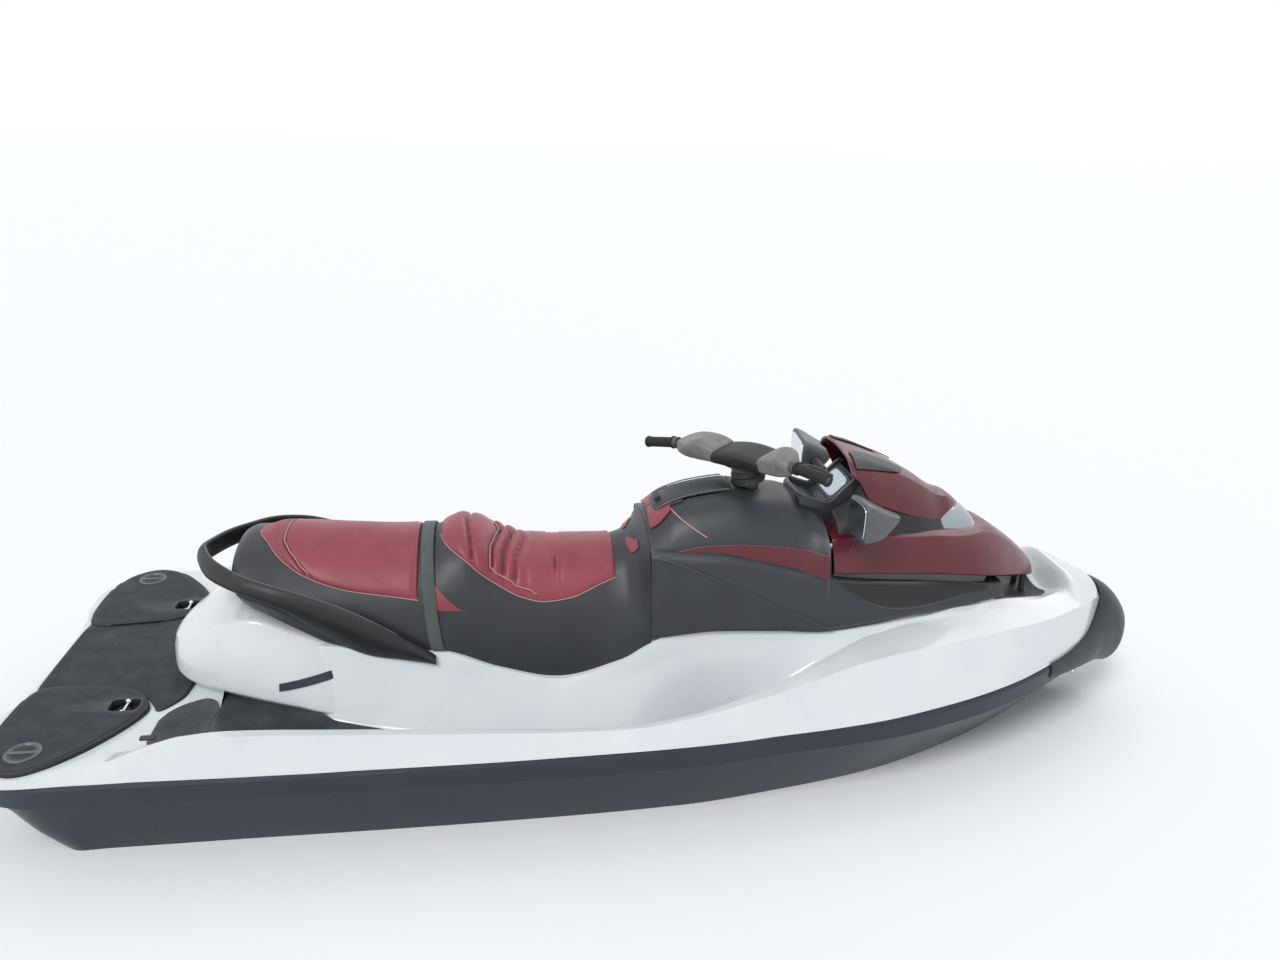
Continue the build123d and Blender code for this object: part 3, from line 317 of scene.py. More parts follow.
# Cast and machined aluminium of the jet pump
ALLOY = Finish("cast_aluminium", "metal", "A7A9AB", "85888B", 0.42, Relief.CAST, 2.5, 0.12, 50.0, 0.5,
               metallic=1.0)
# Painted engine castings
CASTING = Finish("painted_casting", "iron", "4A4B4D", "38393A", 0.55, Relief.CAST, 4.0, 0.4, 60.0, 0.5)
# Knurled handgrip rubber
GRIP = Finish("handgrip_rubber", "grip", "17181A", "232527", 0.7, Relief.TREAD, 3.2, 0.5, 40.0, 0.4)
# Sun-bleached grey covers on the bars' arms
ARM_COVER = Finish("bleached_grey_cover", "charcoal", "6B6D6C", "A09F97", 0.5, Relief.GRAIN, 1.5, 0.06,
                   90.0, 0.8, wear=0.2)
# Clouded glazing of the hood's lens
SMOKED = Finish("smoked_glazing", "glass", "9AA3AB", "87919A", 0.08, Relief.POLISHED, coat=0.5, drift=0.2)
# Pale screen of the gauges, lit by the sky
SCREEN = Finish("gauge_screen", "glass", "C9D6DE", "AEBDC8", 0.2, Relief.POLISHED, drift=0.3, coat=0.6)
# Silvered glass
SILVERED = Finish("mirror_silvering", "mirror", "D9DDE0", "D9DDE0", 0.03, metallic=1.0)


def monotone(keys: Sequence[float], values: Sequence[float], at: float) -> float:
    """Value of the smooth curve with no overshoot through given points.

    Args:
        keys: places of the points, rising.
        values: the curve's value at each.
        at: the place wanted.

    Returns:
        The curve's value there.
    """
    at = min(max(at, keys[0]), keys[-1])
    i = max(k for k in range(len(keys) - 1) if keys[k] <= at)
    secants = [(values[k + 1] - values[k]) / (keys[k + 1] - keys[k]) for k in range(len(keys) - 1)]

    def slope(k: int) -> float:
        """Slope at a point: the harmonic mean of the slopes beside it."""
        if k == 0 or k == len(keys) - 1:
            return secants[0 if k == 0 else -1]
        before, after = secants[k - 1], secants[k]
        return 2 * before * after / (before + after) if before * after > 0 else 0.0

    span = keys[i + 1] - keys[i]
    t = (at - keys[i]) / span
    return ((2 * t**3 - 3 * t**2 + 1) * values[i] + (t**3 - 2 * t**2 + t) * span * slope(i)
            + (3 * t**2 - 2 * t**3) * values[i + 1] + (t**3 - t**2) * span * slope(i + 1))


def read(table: Sequence[Sequence[float]], x: float, column: int = 1) -> float:
    """Value of a table's column at x, whose places stand in the first column."""
    return monotone([row[0] for row in table], [row[column] for row in table], x)


@dataclass
class Form:
    """Moulded surface lofted along the craft and symmetric about its centre plane.

    Attributes:
        rows: for each station, x and the half section's points (y, z), from the outer edge to the centre.
        hold: for each point of the section, 1 for a soft bend, 2 for a tight one and 3 for a crisp edge.
    """

    rows: list[Row]
    hold: list[int]
    keys: list[float] = field(init=False)

    def __post_init__(self) -> None:
        """Keep the stations' places by themselves."""
        self.keys = [x for x, _ in self.rows]

    def section(self, x: float) -> list[Pair]:
        """Half section at x, by the smooth monotone curve through each of its points."""
        return [tuple(monotone(self.keys, [points[k][axis] for _, points in self.rows], x)
                      for axis in (0, 1)) for k in range(len(self.hold))]

    def outline(self, x: float, fine: int = 3) -> list[Pair]:
        """Smooth half outline at x, from the outer edge to the centre.

        Args:
            x: the station.
            fine: samples for each span of the spline.

        Returns:
            The outline's points (y, z).
        """
        half = self.section(x)
        control = [half[0]] * 2 + [p for p, n in zip(half, self.hold) for _ in range(n)]
        spans = len(control) - 2
        control.append((-half[-2][0], half[-2][1]))
        points = [spline_point(control[k:k + 4], step / fine) for k in range(spans) for step in range(fine)]
        _, height = spline_point(control[spans - 1:spans + 3], 1.0)
        return points + [(0.0, height)]

    def skin(self, stations: Sequence[float], fine: int = 3) -> list[list[Point]]:
        """Rows of points of the whole surface, port edge to starboard edge, at given stations."""
        return [[(x, y, z) for y, z in whole(self.outline(x, fine))] for x in stations]


def whole(half: Sequence[Pair]) -> list[Pair]:
    """Whole outline, port edge to starboard edge, from its port half."""
    return [*half, *((-y, z) for y, z in reversed(half[:-1]))]


def spline_point(group: Sequence[Pair], t: float) -> Pair:
    """Point of a uniform cubic B-spline's span at t from 0 to 1."""
    weights = ((1 - t) ** 3 / 6, (3 * t**3 - 6 * t**2 + 4) / 6,
               (-3 * t**3 + 3 * t**2 + 3 * t + 1) / 6, t**3 / 6)
    return tuple(sum(w * p[axis] for w, p in zip(weights, group)) for axis in (0, 1))


def spread(low: float, high: float, step: float) -> list[float]:
    """Even stations from low to high, about step apart."""
    count = max(1, round(abs(high - low) / step))
    return [low + (high - low) * k / count for k in range(count + 1)]


def new_object(name: str, mesh: bpy.types.Mesh) -> Piece:
    """Link a new object that holds a mesh."""
    made = bpy.data.objects.new(name, mesh)
    bpy.context.scene.collection.objects.link(made)
    return made


def faced(name: str, points: Sequence[Point], faces: Sequence[Sequence[int]], solid: bool = False) -> Piece:
    """Object from points in millimetres and its faces.

    Args:
        name: the piece's name.
        points: its corners.
        faces: corner numbers of each face.
        solid: whether it is closed, and so has its normals turned outwards.

    Returns:
        The object.
    """
    mesh = bpy.data.meshes.new(name)
    mesh.from_pydata([tuple(c * MM for c in p) for p in points], [], [list(f) for f in faces])
    shell = bmesh.new()
    shell.from_mesh(mesh)
    bmesh.ops.remove_doubles(shell, verts=shell.verts, dist=MERGE)
    if solid:
        bmesh.ops.recalc_face_normals(shell, faces=shell.faces)
    shell.to_mesh(mesh)
    shell.free()
    return new_object(name, mesh)


def baked(piece: Piece) -> Piece:
    """Turn a piece's modifiers into its own mesh.

    Args:
        piece: the object, with its modifiers.

    Returns:
        The same object with a plain mesh.
    """
    bpy.context.view_layer.update()
    seen = piece.evaluated_get(bpy.context.evaluated_depsgraph_get())
    mesh = bpy.data.meshes.new_from_object(seen)
    mesh.name = piece.name
    piece.modifiers.clear()
    piece.data = mesh
    return piece


def smoothed(piece: Piece, angle: float = 32.0) -> Piece:
    """Shade a piece smooth, but for edges sharper than an angle in degrees."""
    piece.data.shade_smooth()
    piece.data.set_sharp_from_angle(angle=math.radians(angle))
    return piece


def thickened(piece: Piece, wall: float) -> Piece:
    """Give a skin its wall, inwards from its faces, in millimetres."""
    added = piece.modifiers.new("wall", "SOLIDIFY")
    added.thickness = wall * MM
    added.offset = -1.0
    added.use_even_offset = False
    return baked(piece)


def grid_faces(rows: int, columns: int) -> list[tuple[int, int, int, int]]:
    """Faces of a grid whose rows run forward and whose columns run from port to starboard."""
    return [(i * columns + j, i * columns + j + 1, (i + 1) * columns + j + 1, (i + 1) * columns + j)
            for i in range(rows - 1) for j in range(columns - 1)]


def skin_piece(name: str, rows: list[list[Point]], wall: float, angle: float = 32.0) -> Piece:
    """Shell piece from rows of points, with a wall under it."""
    flat = [p for row in rows for p in row]
    piece = faced(name, flat, grid_faces(len(rows), len(rows[0])))
    return smoothed(thickened(piece, wall), angle)


def ring_piece(name: str, rings: list[list[Point]], angle: float = 32.0) -> Piece:
    """Closed piece through rings of points, its two ends closed across by strips.

    Args:
        name: the piece's name.
        rings: closed loops with the same number of points, each starting at a pole.
        angle: edges sharper than this stay sharp, in degrees.

    Returns:
        The object.
    """
    count = len(rings[0])
    points = [p for ring in rings for p in ring]
    faces = [(i * count + j, i * count + (j + 1) % count, (i + 1) * count + (j + 1) % count,
              (i + 1) * count + j) for i in range(len(rings) - 1) for j in range(count)]
    for base in (0, (len(rings) - 1) * count):
        for k in range(count // 2):
            pair = [base + k, base + k + 1, base + (count - k - 1) % count, base + (count - k) % count]
            corners = list(dict.fromkeys(pair))
            if len(corners) > 2:
                faces.append(tuple(corners))
    return smoothed(faced(name, points, faces, solid=True), angle)


def both_sides(x: float, half: Sequence[Pair]) -> list[Point]:
    """Closed loop at x from a half section that starts and ends on the centre plane."""
    return [(x, y, z) for y, z in half] + [(x, -y, z) for y, z in reversed(half[1:-1])]


def lofted(name: str, form: Form, stations: Sequence[float], drop: float, fine: int = 3,
           angle: float = 40.0) -> Piece:
    """Closed piece under a form's surface, with a flat underside.

    Args:
        name: the piece's name.
        form: its upper surface.
        stations: places along the craft.
        drop: how far the underside lies under the surface's edge.
        fine: samples for each span of the outline.
        angle: edges sharper than this stay sharp, in degrees.

    Returns:
        The object.
    """
    rings = []
    for x in stations:
        half = form.outline(x, fine)
        low = half[0][1] - drop
        rings.append(both_sides(x, [(0.0, low), (half[0][0] * 0.6, low)] + half))
    return ring_piece(name, rings, angle)


def paired(side: int, node: str) -> tuple[str, ...]:
    """CAD node that the port piece of a pair stands for, and nothing for the starboard piece."""
    return (node,) if side > 0 else ()


def finished(piece: Piece, finish: Finish, body: Body, *nodes: str) -> Piece:
    """Give a piece its finish, its body and the CAD nodes that it stands for.

    Args:
        piece: the object, in place.
        finish: its finish.
        body: the body that it rides on.
        nodes: CAD nodes that it replaces.

    Returns:
        The object.
    """
    piece.data.materials.clear()
    piece.data.materials.append(finish.material())
    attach(piece, body.value)
    if nodes:
        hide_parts(*nodes)
    log.info("%s: %d faces, %s", piece.name, len(piece.data.polygons), finish.name)
    return piece


class Sweeper:
    """Geometry Nodes trees that sweep beads and tubes along paths and set rows of small parts."""

    def __init__(self) -> None:
        """Build the two trees."""
        self.bead_tree = self.bead()
        self.row_tree = self.row()

    @staticmethod
    def started(name: str, *sockets: tuple[str, str, float | None]
                ) -> tuple[bpy.types.NodeTree, bpy.types.Node]:
        """Start a tree with its inputs, given as name, kind and default, and one geometry output."""
        tree = bpy.data.node_groups.new(name, "GeometryNodeTree")
        for title, kind, default in (*sockets, ("Finish", "Material", None)):
            socket = tree.interface.new_socket(title, in_out="INPUT", socket_type=f"NodeSocket{kind}")
            if default is not None:
                socket.default_value = default
        tree.interface.new_socket("Geometry", in_out="OUTPUT", socket_type="NodeSocketGeometry")
        return tree, add_node(tree, "NodeGroupInput")

    @staticmethod
    def ended(tree: bpy.types.NodeTree, given: bpy.types.Node, shape: bpy.types.Node) -> bpy.types.NodeTree:
        """Realize a tree's shape, give it its finish and send it out."""
        real = add_node(tree, "GeometryNodeRealizeInstances", links={0: shape.outputs[0]})
        painted = add_node(tree, "GeometryNodeSetMaterial",
                           links={"Geometry": real.outputs[0], "Material": given.outputs["Finish"]})
        add_node(tree, "NodeGroupOutput", links={0: painted.outputs[0]})
        return tree

    def bead(self) -> bpy.types.NodeTree:
        """Tree that sweeps a round section along the edges of a mesh."""
        tree, given = self.started("swept_bead", ("Path", "Geometry", None), ("Radius", "Float", 0.003),
                                   ("Sides", "Int", 12))
        line = add_node(tree, "GeometryNodeMeshToCurve", links={0: given.outputs["Path"]})
        circle = add_node(tree, "GeometryNodeCurvePrimitiveCircle",
                          links={"Resolution": given.outputs["Sides"], "Radius": given.outputs["Radius"]})
        tube = add_node(tree, "GeometryNodeCurveToMesh", {"Fill Caps": True},
                        {"Curve": line.outputs[0], "Profile Curve": circle.outputs[0]})
        return self.ended(tree, given, tube)

    def row(self) -> bpy.types.NodeTree:
        """Tree that sets a small domed head on each point of a mesh, along the point's normal."""
        tree, given = self.started("row_of_heads", ("Points", "Geometry", None), ("Radius", "Float", 0.005),
                                   ("Height", "Float", 0.003))
        head = add_node(tree, "GeometryNodeMeshUVSphere", {"Segments": 16, "Rings": 8},
                        {"Radius": given.outputs["Radius"]})
        normal = add_node(tree, "GeometryNodeInputNormal")
        turn = add_node(tree, "FunctionNodeAlignEulerToVector", {"axis": "Z"}, {"Vector": normal.outputs[0]})
        flat = add_node(tree, "ShaderNodeMath", {"operation": "DIVIDE"},
                        {0: given.outputs["Height"], 1: given.outputs["Radius"]})
        size = add_node(tree, "ShaderNodeCombineXYZ", {"X": 1.0, "Y": 1.0}, {"Z": flat.outputs[0]})
        heads = add_node(tree, "GeometryNodeInstanceOnPoints", links={
            "Points": given.outputs["Points"], "Instance": head.outputs[0], "Rotation": turn.outputs[0],
            "Scale": size.outputs[0]})
        return self.ended(tree, given, heads)

    @staticmethod
    def applied(holder: Piece, tree: bpy.types.NodeTree, values: dict[str, object]) -> Piece:
        """Run a tree on an object with named inputs and keep its result as a plain mesh.

        Args:
            holder: the object that carries the path or points.
            tree: the tree.
            values: its inputs by name.

        Returns:
            The object with its mesh made.
        """
        added = holder.modifiers.new("made", "NODES")
        added.node_group = tree
        for item in tree.interface.items_tree:
            if item.item_type == "SOCKET" and item.in_out == "INPUT" and item.name in values:
                added[item.identifier] = values[item.name]
        return baked(holder)

    def sweep(self, name: str, paths: Sequence[Sequence[Point]], radius: float, finish: Finish, body: Body,
              *nodes: str, sides: int = 12) -> Piece:
        """Finished bead or tube of a radius in millimetres along each path."""
        points: list[Point] = []
        edges: list[tuple[int, int]] = []
        for path in paths:
            base = len(points)
            points += [tuple(c * MM for c in p) for p in path]
            edges += [(base + k, base + k + 1) for k in range(len(path) - 1)]
        mesh = bpy.data.meshes.new(name)
        mesh.from_pydata(points, edges, [])
        made = self.applied(new_object(name, mesh), self.bead_tree,
                            {"Radius": radius * MM, "Sides": sides, "Finish": finish.material()})
        return finished(smoothed(solid_normals(made), 50.0), finish, body, *nodes)

    def heads(self, name: str, places: Sequence[tuple[Point, Point]], radius: float, height: float,
              finish: Finish) -> Piece:
        """Finished row of domed heads: each place is a point and the way that its head faces."""
        points: list[Point] = []
        for place, facing in places:
            centre = Vector([c * MM for c in place])
            side = Vector(facing).normalized().orthogonal() * HEAD_SEED
            other = Vector(facing).normalized().cross(side)
            points += [tuple(centre + side), tuple(centre + other), tuple(centre - side - other)]
        mesh = bpy.data.meshes.new(name)
        mesh.from_pydata(points, [], [(3 * k, 3 * k + 1, 3 * k + 2) for k in range(len(places))])
        made = self.applied(new_object(name, mesh), self.row_tree,
                            {"Radius": radius * MM, "Height": height * MM, "Finish": finish.material()})
        return finished(smoothed(made, 50.0), finish, Body.CRAFT)


def solid_normals(piece: Piece) -> Piece:
    """Merge a closed piece's doubles and turn its faces outwards."""
    shell = bmesh.new()
    shell.from_mesh(piece.data)
    bmesh.ops.remove_doubles(shell, verts=shell.verts, dist=MERGE)
    bmesh.ops.recalc_face_normals(shell, faces=shell.faces)
    shell.to_mesh(piece.data)
    shell.free()
    return piece


def eased(points: Sequence[Point], step: float, closed: bool = False) -> list[Point]:
    """Smooth path through points, by a centripetal curve sampled about every step millimetres."""
    spots = [Vector(p) for p in points]
    count = len(spots)
    result: list[Point] = []
    for i in range(count if closed else count - 1):
        p1, p2 = spots[i], spots[(i + 1) % count]
        p0 = spots[i - 1] if closed or i else p1 + (p1 - p2)
        p3 = spots[(i + 2) % count] if closed or i + 2 < count else p2 + (p2 - p1)
        samples = max(1, round((p2 - p1).length / step))
        for k in range(samples):
            t = k / samples
            spot = 0.5 * (2 * p1 + (p2 - p0) * t + (2 * p0 - 5 * p1 + 4 * p2 - p3) * t * t
                          + (3 * p1 - p0 - 3 * p2 + p3) * t**3)
            result.append(tuple(spot))
    if not closed:
        result.append(tuple(spots[-1]))
    return result


def mirrored_path(path: Sequence[Point]) -> list[Point]:
    """The same path on the other side of the centre plane."""
    return [(x, -y, z) for x, y, z in path]


def rounded_slab(name: str, outline: Sequence[Pair], low: float, high: float, edge: float) -> Piece:
    """Flat pad from an outline in plan with a rounded upper edge.

    Args:
        name: the piece's name.
        outline: its outline (x, y), closed.
        low: height of its underside.
        high: height of its top.
        edge: radius of the rounded edge.

    Returns:
        The object.
    """
    shell = bmesh.new()
    corners = [shell.verts.new((x * MM, y * MM, low * MM)) for x, y in outline]
    base = shell.faces.new(corners)
    raised = bmesh.ops.extrude_face_region(shell, geom=[base])
    top = [v for v in raised["geom"] if isinstance(v, bmesh.types.BMVert)]
    for vert in top:
        vert.co.z = high * MM
    rim = [e for e in shell.edges if all(v in top for v in e.verts)]
    bmesh.ops.bevel(shell, geom=rim, offset=edge * MM, segments=3, affect="EDGES", profile=0.5)
    bmesh.ops.recalc_face_normals(shell, faces=shell.faces)
    mesh = bpy.data.meshes.new(name)
    shell.to_mesh(mesh)
    shell.free()
    return smoothed(new_object(name, mesh), 40.0)


# Plan of the platform's aft edge, as (y, x) from the centre out to the corner
AFT_EDGE: list[Pair] = [(0, -1746), (110, -1749), (225, -1757), (305, -1777), (390, -1784), (480, -1768)]


# Half sections of the deck: band edge, crest out and in, well foot out and in, lip low and top, centre
DECK_ROWS: list[Row] = [
    (-1770, [(480, 228), (480, 258), (462, 263), (400, 263), (300, 263), (210, 263), (110, 263), (0, 263)]),
    (-1745, [(530, 228), (530, 259), (512, 263), (430, 263), (320, 263), (215, 263), (110, 263), (0, 263)]),
    (-1710, [(566, 230), (566, 260), (548, 263), (460, 263), (330, 263), (220, 263), (110, 263), (0, 263)]),
    (-1660, [(590, 234), (588, 261), (568, 263), (480, 263), (330, 263), (220, 263), (110, 263), (0, 263)]),
    (-1600, [(597, 238), (593, 262), (570, 264), (485, 263), (320, 263), (215, 263), (110, 263), (0, 263)]),
    (-1500, [(600, 242), (592, 264), (566, 266), (490, 263), (310, 263), (210, 263), (110, 263), (0, 263)]),
    (-1430, [(603, 244), (590, 272), (558, 274), (494, 263), (300, 263), (200, 263), (105, 263), (0, 263)]),
    (-1385, [(604, 245), (588, 292), (556, 292), (496, 263), (270, 263), (185, 263), (100, 263), (0, 264)]),
    (-1330, [(605, 246), (588, 318), (554, 314), (500, 262), (240, 262), (180, 262), (100, 264), (0, 266)]),
    (-1280, [(606, 246), (587, 334), (553, 330), (504, 261), (246, 259), (205, 261), (150, 280), (0, 296)]),
    (-1230, [(607, 246), (586, 346), (552, 342), (508, 259), (256, 256), (226, 260), (180, 306), (0, 336)]),
    (-1120, [(609, 246), (584, 352), (552, 350), (513, 252), (284, 250), (262, 264), (205, 404), (0, 440)]),
    (-1000, [(611, 247), (583, 349), (553, 347), (517, 242), (322, 240), (306, 258), (236, 416), (0, 436)]),
    (-900, [(612, 247), (583, 344), (554, 342), (520, 231), (348, 229), (336, 248), (252, 412), (0, 424)]),
    (-780, [(612, 248), (583, 338), (555, 336), (522, 214), (371, 212), (352, 240), (264, 396), (0, 408)]),
    (-600, [(612, 248), (583, 328), (556, 326), (524, 188), (400, 186), (300, 330), (266, 388), (0, 398)]),
    (-420, [(611, 248), (582, 318), (556, 316), (524, 162), (406, 160), (286, 298), (264, 322), (0, 332)]),
    (-240, [(608, 249), (579, 308), (555, 305), (521, 144), (402, 142), (292, 258), (268, 280), (0, 290)]),
    (-60, [(604, 250), (574, 304), (552, 302), (512, 134), (388, 132), (286, 276), (264, 328), (0, 340)]),
    (100, [(596, 250), (565, 322), (545, 321), (494, 132), (362, 130), (281, 345), (264, 418), (0, 440)]),
    (240, [(584, 250), (548, 344), (518, 344), (470, 158), (352, 154), (282, 376), (270, 430), (0, 440)]),
    (360, [(568, 250), (524, 362), (475, 366), (436, 232), (352, 228), (287, 386), (274, 428), (0, 440)]),
    (470, [(556, 250), (498, 380), (436, 386), (402, 312), (344, 306), (290, 392), (276, 424), (0, 440)]),
    (580, [(542, 251), (462, 394), (378, 400), (352, 366), (326, 362), (294, 392), (280, 412), (0, 430)]),
    (700, [(523, 253), (432, 405), (315, 414), (305, 402), (298, 398), (290, 410), (276, 424), (0, 420)]),
    (850, [(488, 257), (402, 414), (300, 432), (290, 432), (284, 434), (276, 444), (268, 450), (0, 420)]),
    (1000, [(448, 264), (374, 422), (325, 438), (306, 446), (290, 452), (276, 460), (260, 466), (0, 420)]),
    (1150, [(396, 273), (338, 428), (300, 440), (276, 448), (254, 456), (240, 462), (226, 468), (0, 400)]),
    (1280, [(338, 285), (300, 432), (268, 440), (248, 446), (226, 450), (205, 452), (180, 450), (0, 376)]),
    (1370, [(289, 295), (258, 433), (226, 440), (206, 444), (184, 446), (160, 446), (130, 430), (0, 374)]),
    (1422, [(256, 300), (232, 434), (202, 442), (182, 446), (160, 450), (136, 448), (100, 430), (0, 376)]),
    (1446, [(240, 302), (220, 430), (196, 446), (180, 458), (158, 470), (130, 482), (90, 491), (0, 494)]),
    (1500, [(196, 307), (178, 424), (160, 438), (146, 448), (126, 458), (104, 467), (70, 474), (0, 477)]),
    (1560, [(138, 312), (122, 408), (108, 418), (96, 426), (84, 434), (66, 442), (44, 447), (0, 449)]),
    (1584, [(112, 314), (98, 396), (86, 408), (76, 418), (66, 426), (52, 433), (34, 438), (0, 440)]),
    (1598, [(98, 316), (84, 384), (74, 392), (66, 399), (56, 404), (44, 409), (28, 412), (0, 413)]),
    (1620, [(72, 318), (60, 348), (52, 354), (46, 359), (38, 362), (30, 364), (20, 366), (0, 367)]),
    (1644, [(44, 320), (34, 323), (28, 324), (24, 325), (20, 326), (15, 326), (9, 326), (0, 326)]),
]


SWEEPER = Sweeper()


# Middle of the port mooring cup (x, y), and the cups' length and width
CUP_PLACE: Pair = (-1462.0, 296.0)
CUP_SIZE: Pair = (84.0, 64.0)


@dataclass
class Deck:
    """White top moulding: platform, footwells, pedestal, side decks and bow cap."""

    wall: float = 5.0
    step: float = 16.0
    fine_step: float = 3.0
    form: Form = field(default_factory=lambda: Form(DECK_ROWS, [3, 3, 2, 2, 2, 2, 3, 1]))

    def stations(self) -> list[float]:
        """Stations along the deck, close together where it rises steeply."""
        breaks = [(-1770, -1400, 12.0), (-1400, 1360, self.step),
                  (1360, 1460, self.fine_step), (1460, 1644, 8.0)]
        places = [x for low, high, step in breaks for x in spread(low, high, step)]
        return sorted(set(round(x, 3) for x in places))

    @staticmethod
    def shaped(point: Point) -> Point:
        """Bend the aft end of the platform to its scalloped edge in plan."""
        x, y, z = point
        start, length = -1500, 270
        if x > start:
            return point
        corner_y, corner_x = AFT_EDGE[-1]
        share = ((start - x) / length) ** 2
        return (x + (read(AFT_EDGE, min(abs(y), corner_y)) - corner_x) * share, y, z)

    def build(self) -> Piece:
        """Make the deck's skin."""
        rows = [[self.shaped(p) for p in row] for row in self.form.skin(self.stations())]
        piece = skin_piece("deck_moulding", rows, self.wall, 38.0)
        (cup_x, cup_y), (long, wide) = CUP_PLACE, CUP_SIZE
        cups = [block((cup_x - long / 2, side * cup_y - wide / 2, 236),
                      (cup_x + long / 2, side * cup_y + wide / 2, 300), 8) for side, _ in SIDES]
        storage_well = block((688, -182, 300), (1142, 182, 560), 4)
        cut(piece, *cups, storage_well)
        finished(smoothed(piece, 38.0), GELCOAT, Body.CRAFT, "deck")
        self.pod()
        self.recess()
        return piece

    def recess(self) -> None:
        """Line the hollow under the hood's nose with black plastic."""
        rings = []
        for x in spread(1150, 1404, 12):
            wide = read([(1150, 214), (1280, 170), (1370, 116), (1404, 66)], x)
            run = resampled([p for p in self.form.outline(x, 5) if p[0] <= wide], 14)
            over = [(x, y, z + 2.5) for y, z in run] + [(x, -y, z + 2.5) for y, z in reversed(run[:-1])]
            under = [(px, -py, pz - 4.0) for px, py, pz in over]
            rings.append(over + under)
        finished(ring_piece("bow_recess_liner", rings, 40), BLACK, Body.CRAFT)

    def pod(self) -> None:
        """Make the rounded housing behind the seat, whose edge overhangs the footwells."""
        form = Form([
            (-1392, [(24, 330), (34, 342), (32, 352), (22, 360), (11, 363), (0, 364)]),
            (-1386, [(60, 304), (76, 324), (72, 346), (52, 366), (26, 371), (0, 373)]),
            (-1372, [(106, 284), (124, 314), (120, 350), (90, 378), (45, 386), (0, 388)]),
            (-1345, [(146, 270), (180, 306), (176, 352), (134, 392), (67, 402), (0, 405)]),
            (-1300, [(182, 262), (222, 298), (214, 362), (164, 420), (82, 433), (0, 437)]),
            (-1210, [(228, 256), (266, 292), (248, 378), (194, 462), (97, 478), (0, 482)]),
            (-1120, [(268, 252), (298, 284), (270, 380), (214, 484), (107, 500), (0, 504)]),
            (-1000, [(308, 244), (330, 270), (286, 372), (230, 446), (115, 456), (0, 458)]),
            (-900, [(334, 230), (341, 246), (290, 340), (240, 408), (120, 416), (0, 418)]),
            (-860, [(332, 222), (336, 234), (282, 324), (232, 388), (116, 396), (0, 398)]),
        ], [2, 2, 1, 2, 1, 1])
        places = spread(-1392, -1340, 4) + spread(-1330, -860, 12)
        finished(lofted("rear_pod_moulding", form, places, 1, 4, 42), GELCOAT, Body.CRAFT)
        for side, name in SIDES:
            stripe = [(-1040, 306, 326), (-980, 316, 337), (-920, 326, 347), (-864, 335, 356)]
            flank_patch(f"pod_stripe_{name}", form, side, stripe, 1.2, 5, HULL_GEL)
            slot = block((-1352, side * 500 - 8, 300), (-1312, side * 500 + 8, 309), 3)
            slot.name = f"deck_slot_{name}"
            finished(slot, BLACK, Body.CRAFT)


def resampled(points: Sequence[Pair], count: int) -> list[Pair]:
    """The same run of points with a given count, evenly spaced by length."""
    lengths = [0.0]
    for a, b in zip(points, points[1:]):
        lengths.append(lengths[-1] + math.dist(a, b))
    total = max(lengths[-1], 1e-6)
    result = []
    for k in range(count):
        goal = total * k / (count - 1)
        i = max(n for n in range(len(lengths)) if lengths[n] <= goal + 1e-9)
        i = min(i, len(points) - 2)
        span = max(lengths[i + 1] - lengths[i], 1e-9)
        t = (goal - lengths[i]) / span
        result.append(tuple(a + (b - a) * t for a, b in zip(points[i], points[i + 1])))
    return result


def heading(outline: Sequence[Pair], k: int) -> tuple[float, float, Vector]:
    """Point k of an outline and the outline's direction there."""
    a, b = outline[max(k - 1, 0)], outline[min(k + 1, len(outline) - 1)]
    return (*outline[k], Vector((b[0] - a[0], b[1] - a[1])).normalized())


def prism(points: Sequence[Pair], half: float) -> Piece:
    """Closed block with a profile drawn in x and z and faces at y = +half and -half."""
    count = len(points)
    corners = [(x, side * half, z) for side in (1, -1) for x, z in points]
    faces = [tuple(range(count)), tuple(range(2 * count - 1, count - 1, -1))]
    faces += [(k, (k + 1) % count, count + (k + 1) % count, count + k) for k in range(count)]
    return faced("cutter", corners, faces, solid=True)


def cut(piece: Piece, *cutters: Piece) -> Piece:
    """Cut closed blocks out of a closed piece, and remove them."""
    for cutter in cutters:
        added = piece.modifiers.new("cut", "BOOLEAN")
        added.operation = "DIFFERENCE"
        added.solver = "EXACT"
        added.object = cutter
        baked(piece)
        bpy.data.objects.remove(cutter)
    return piece


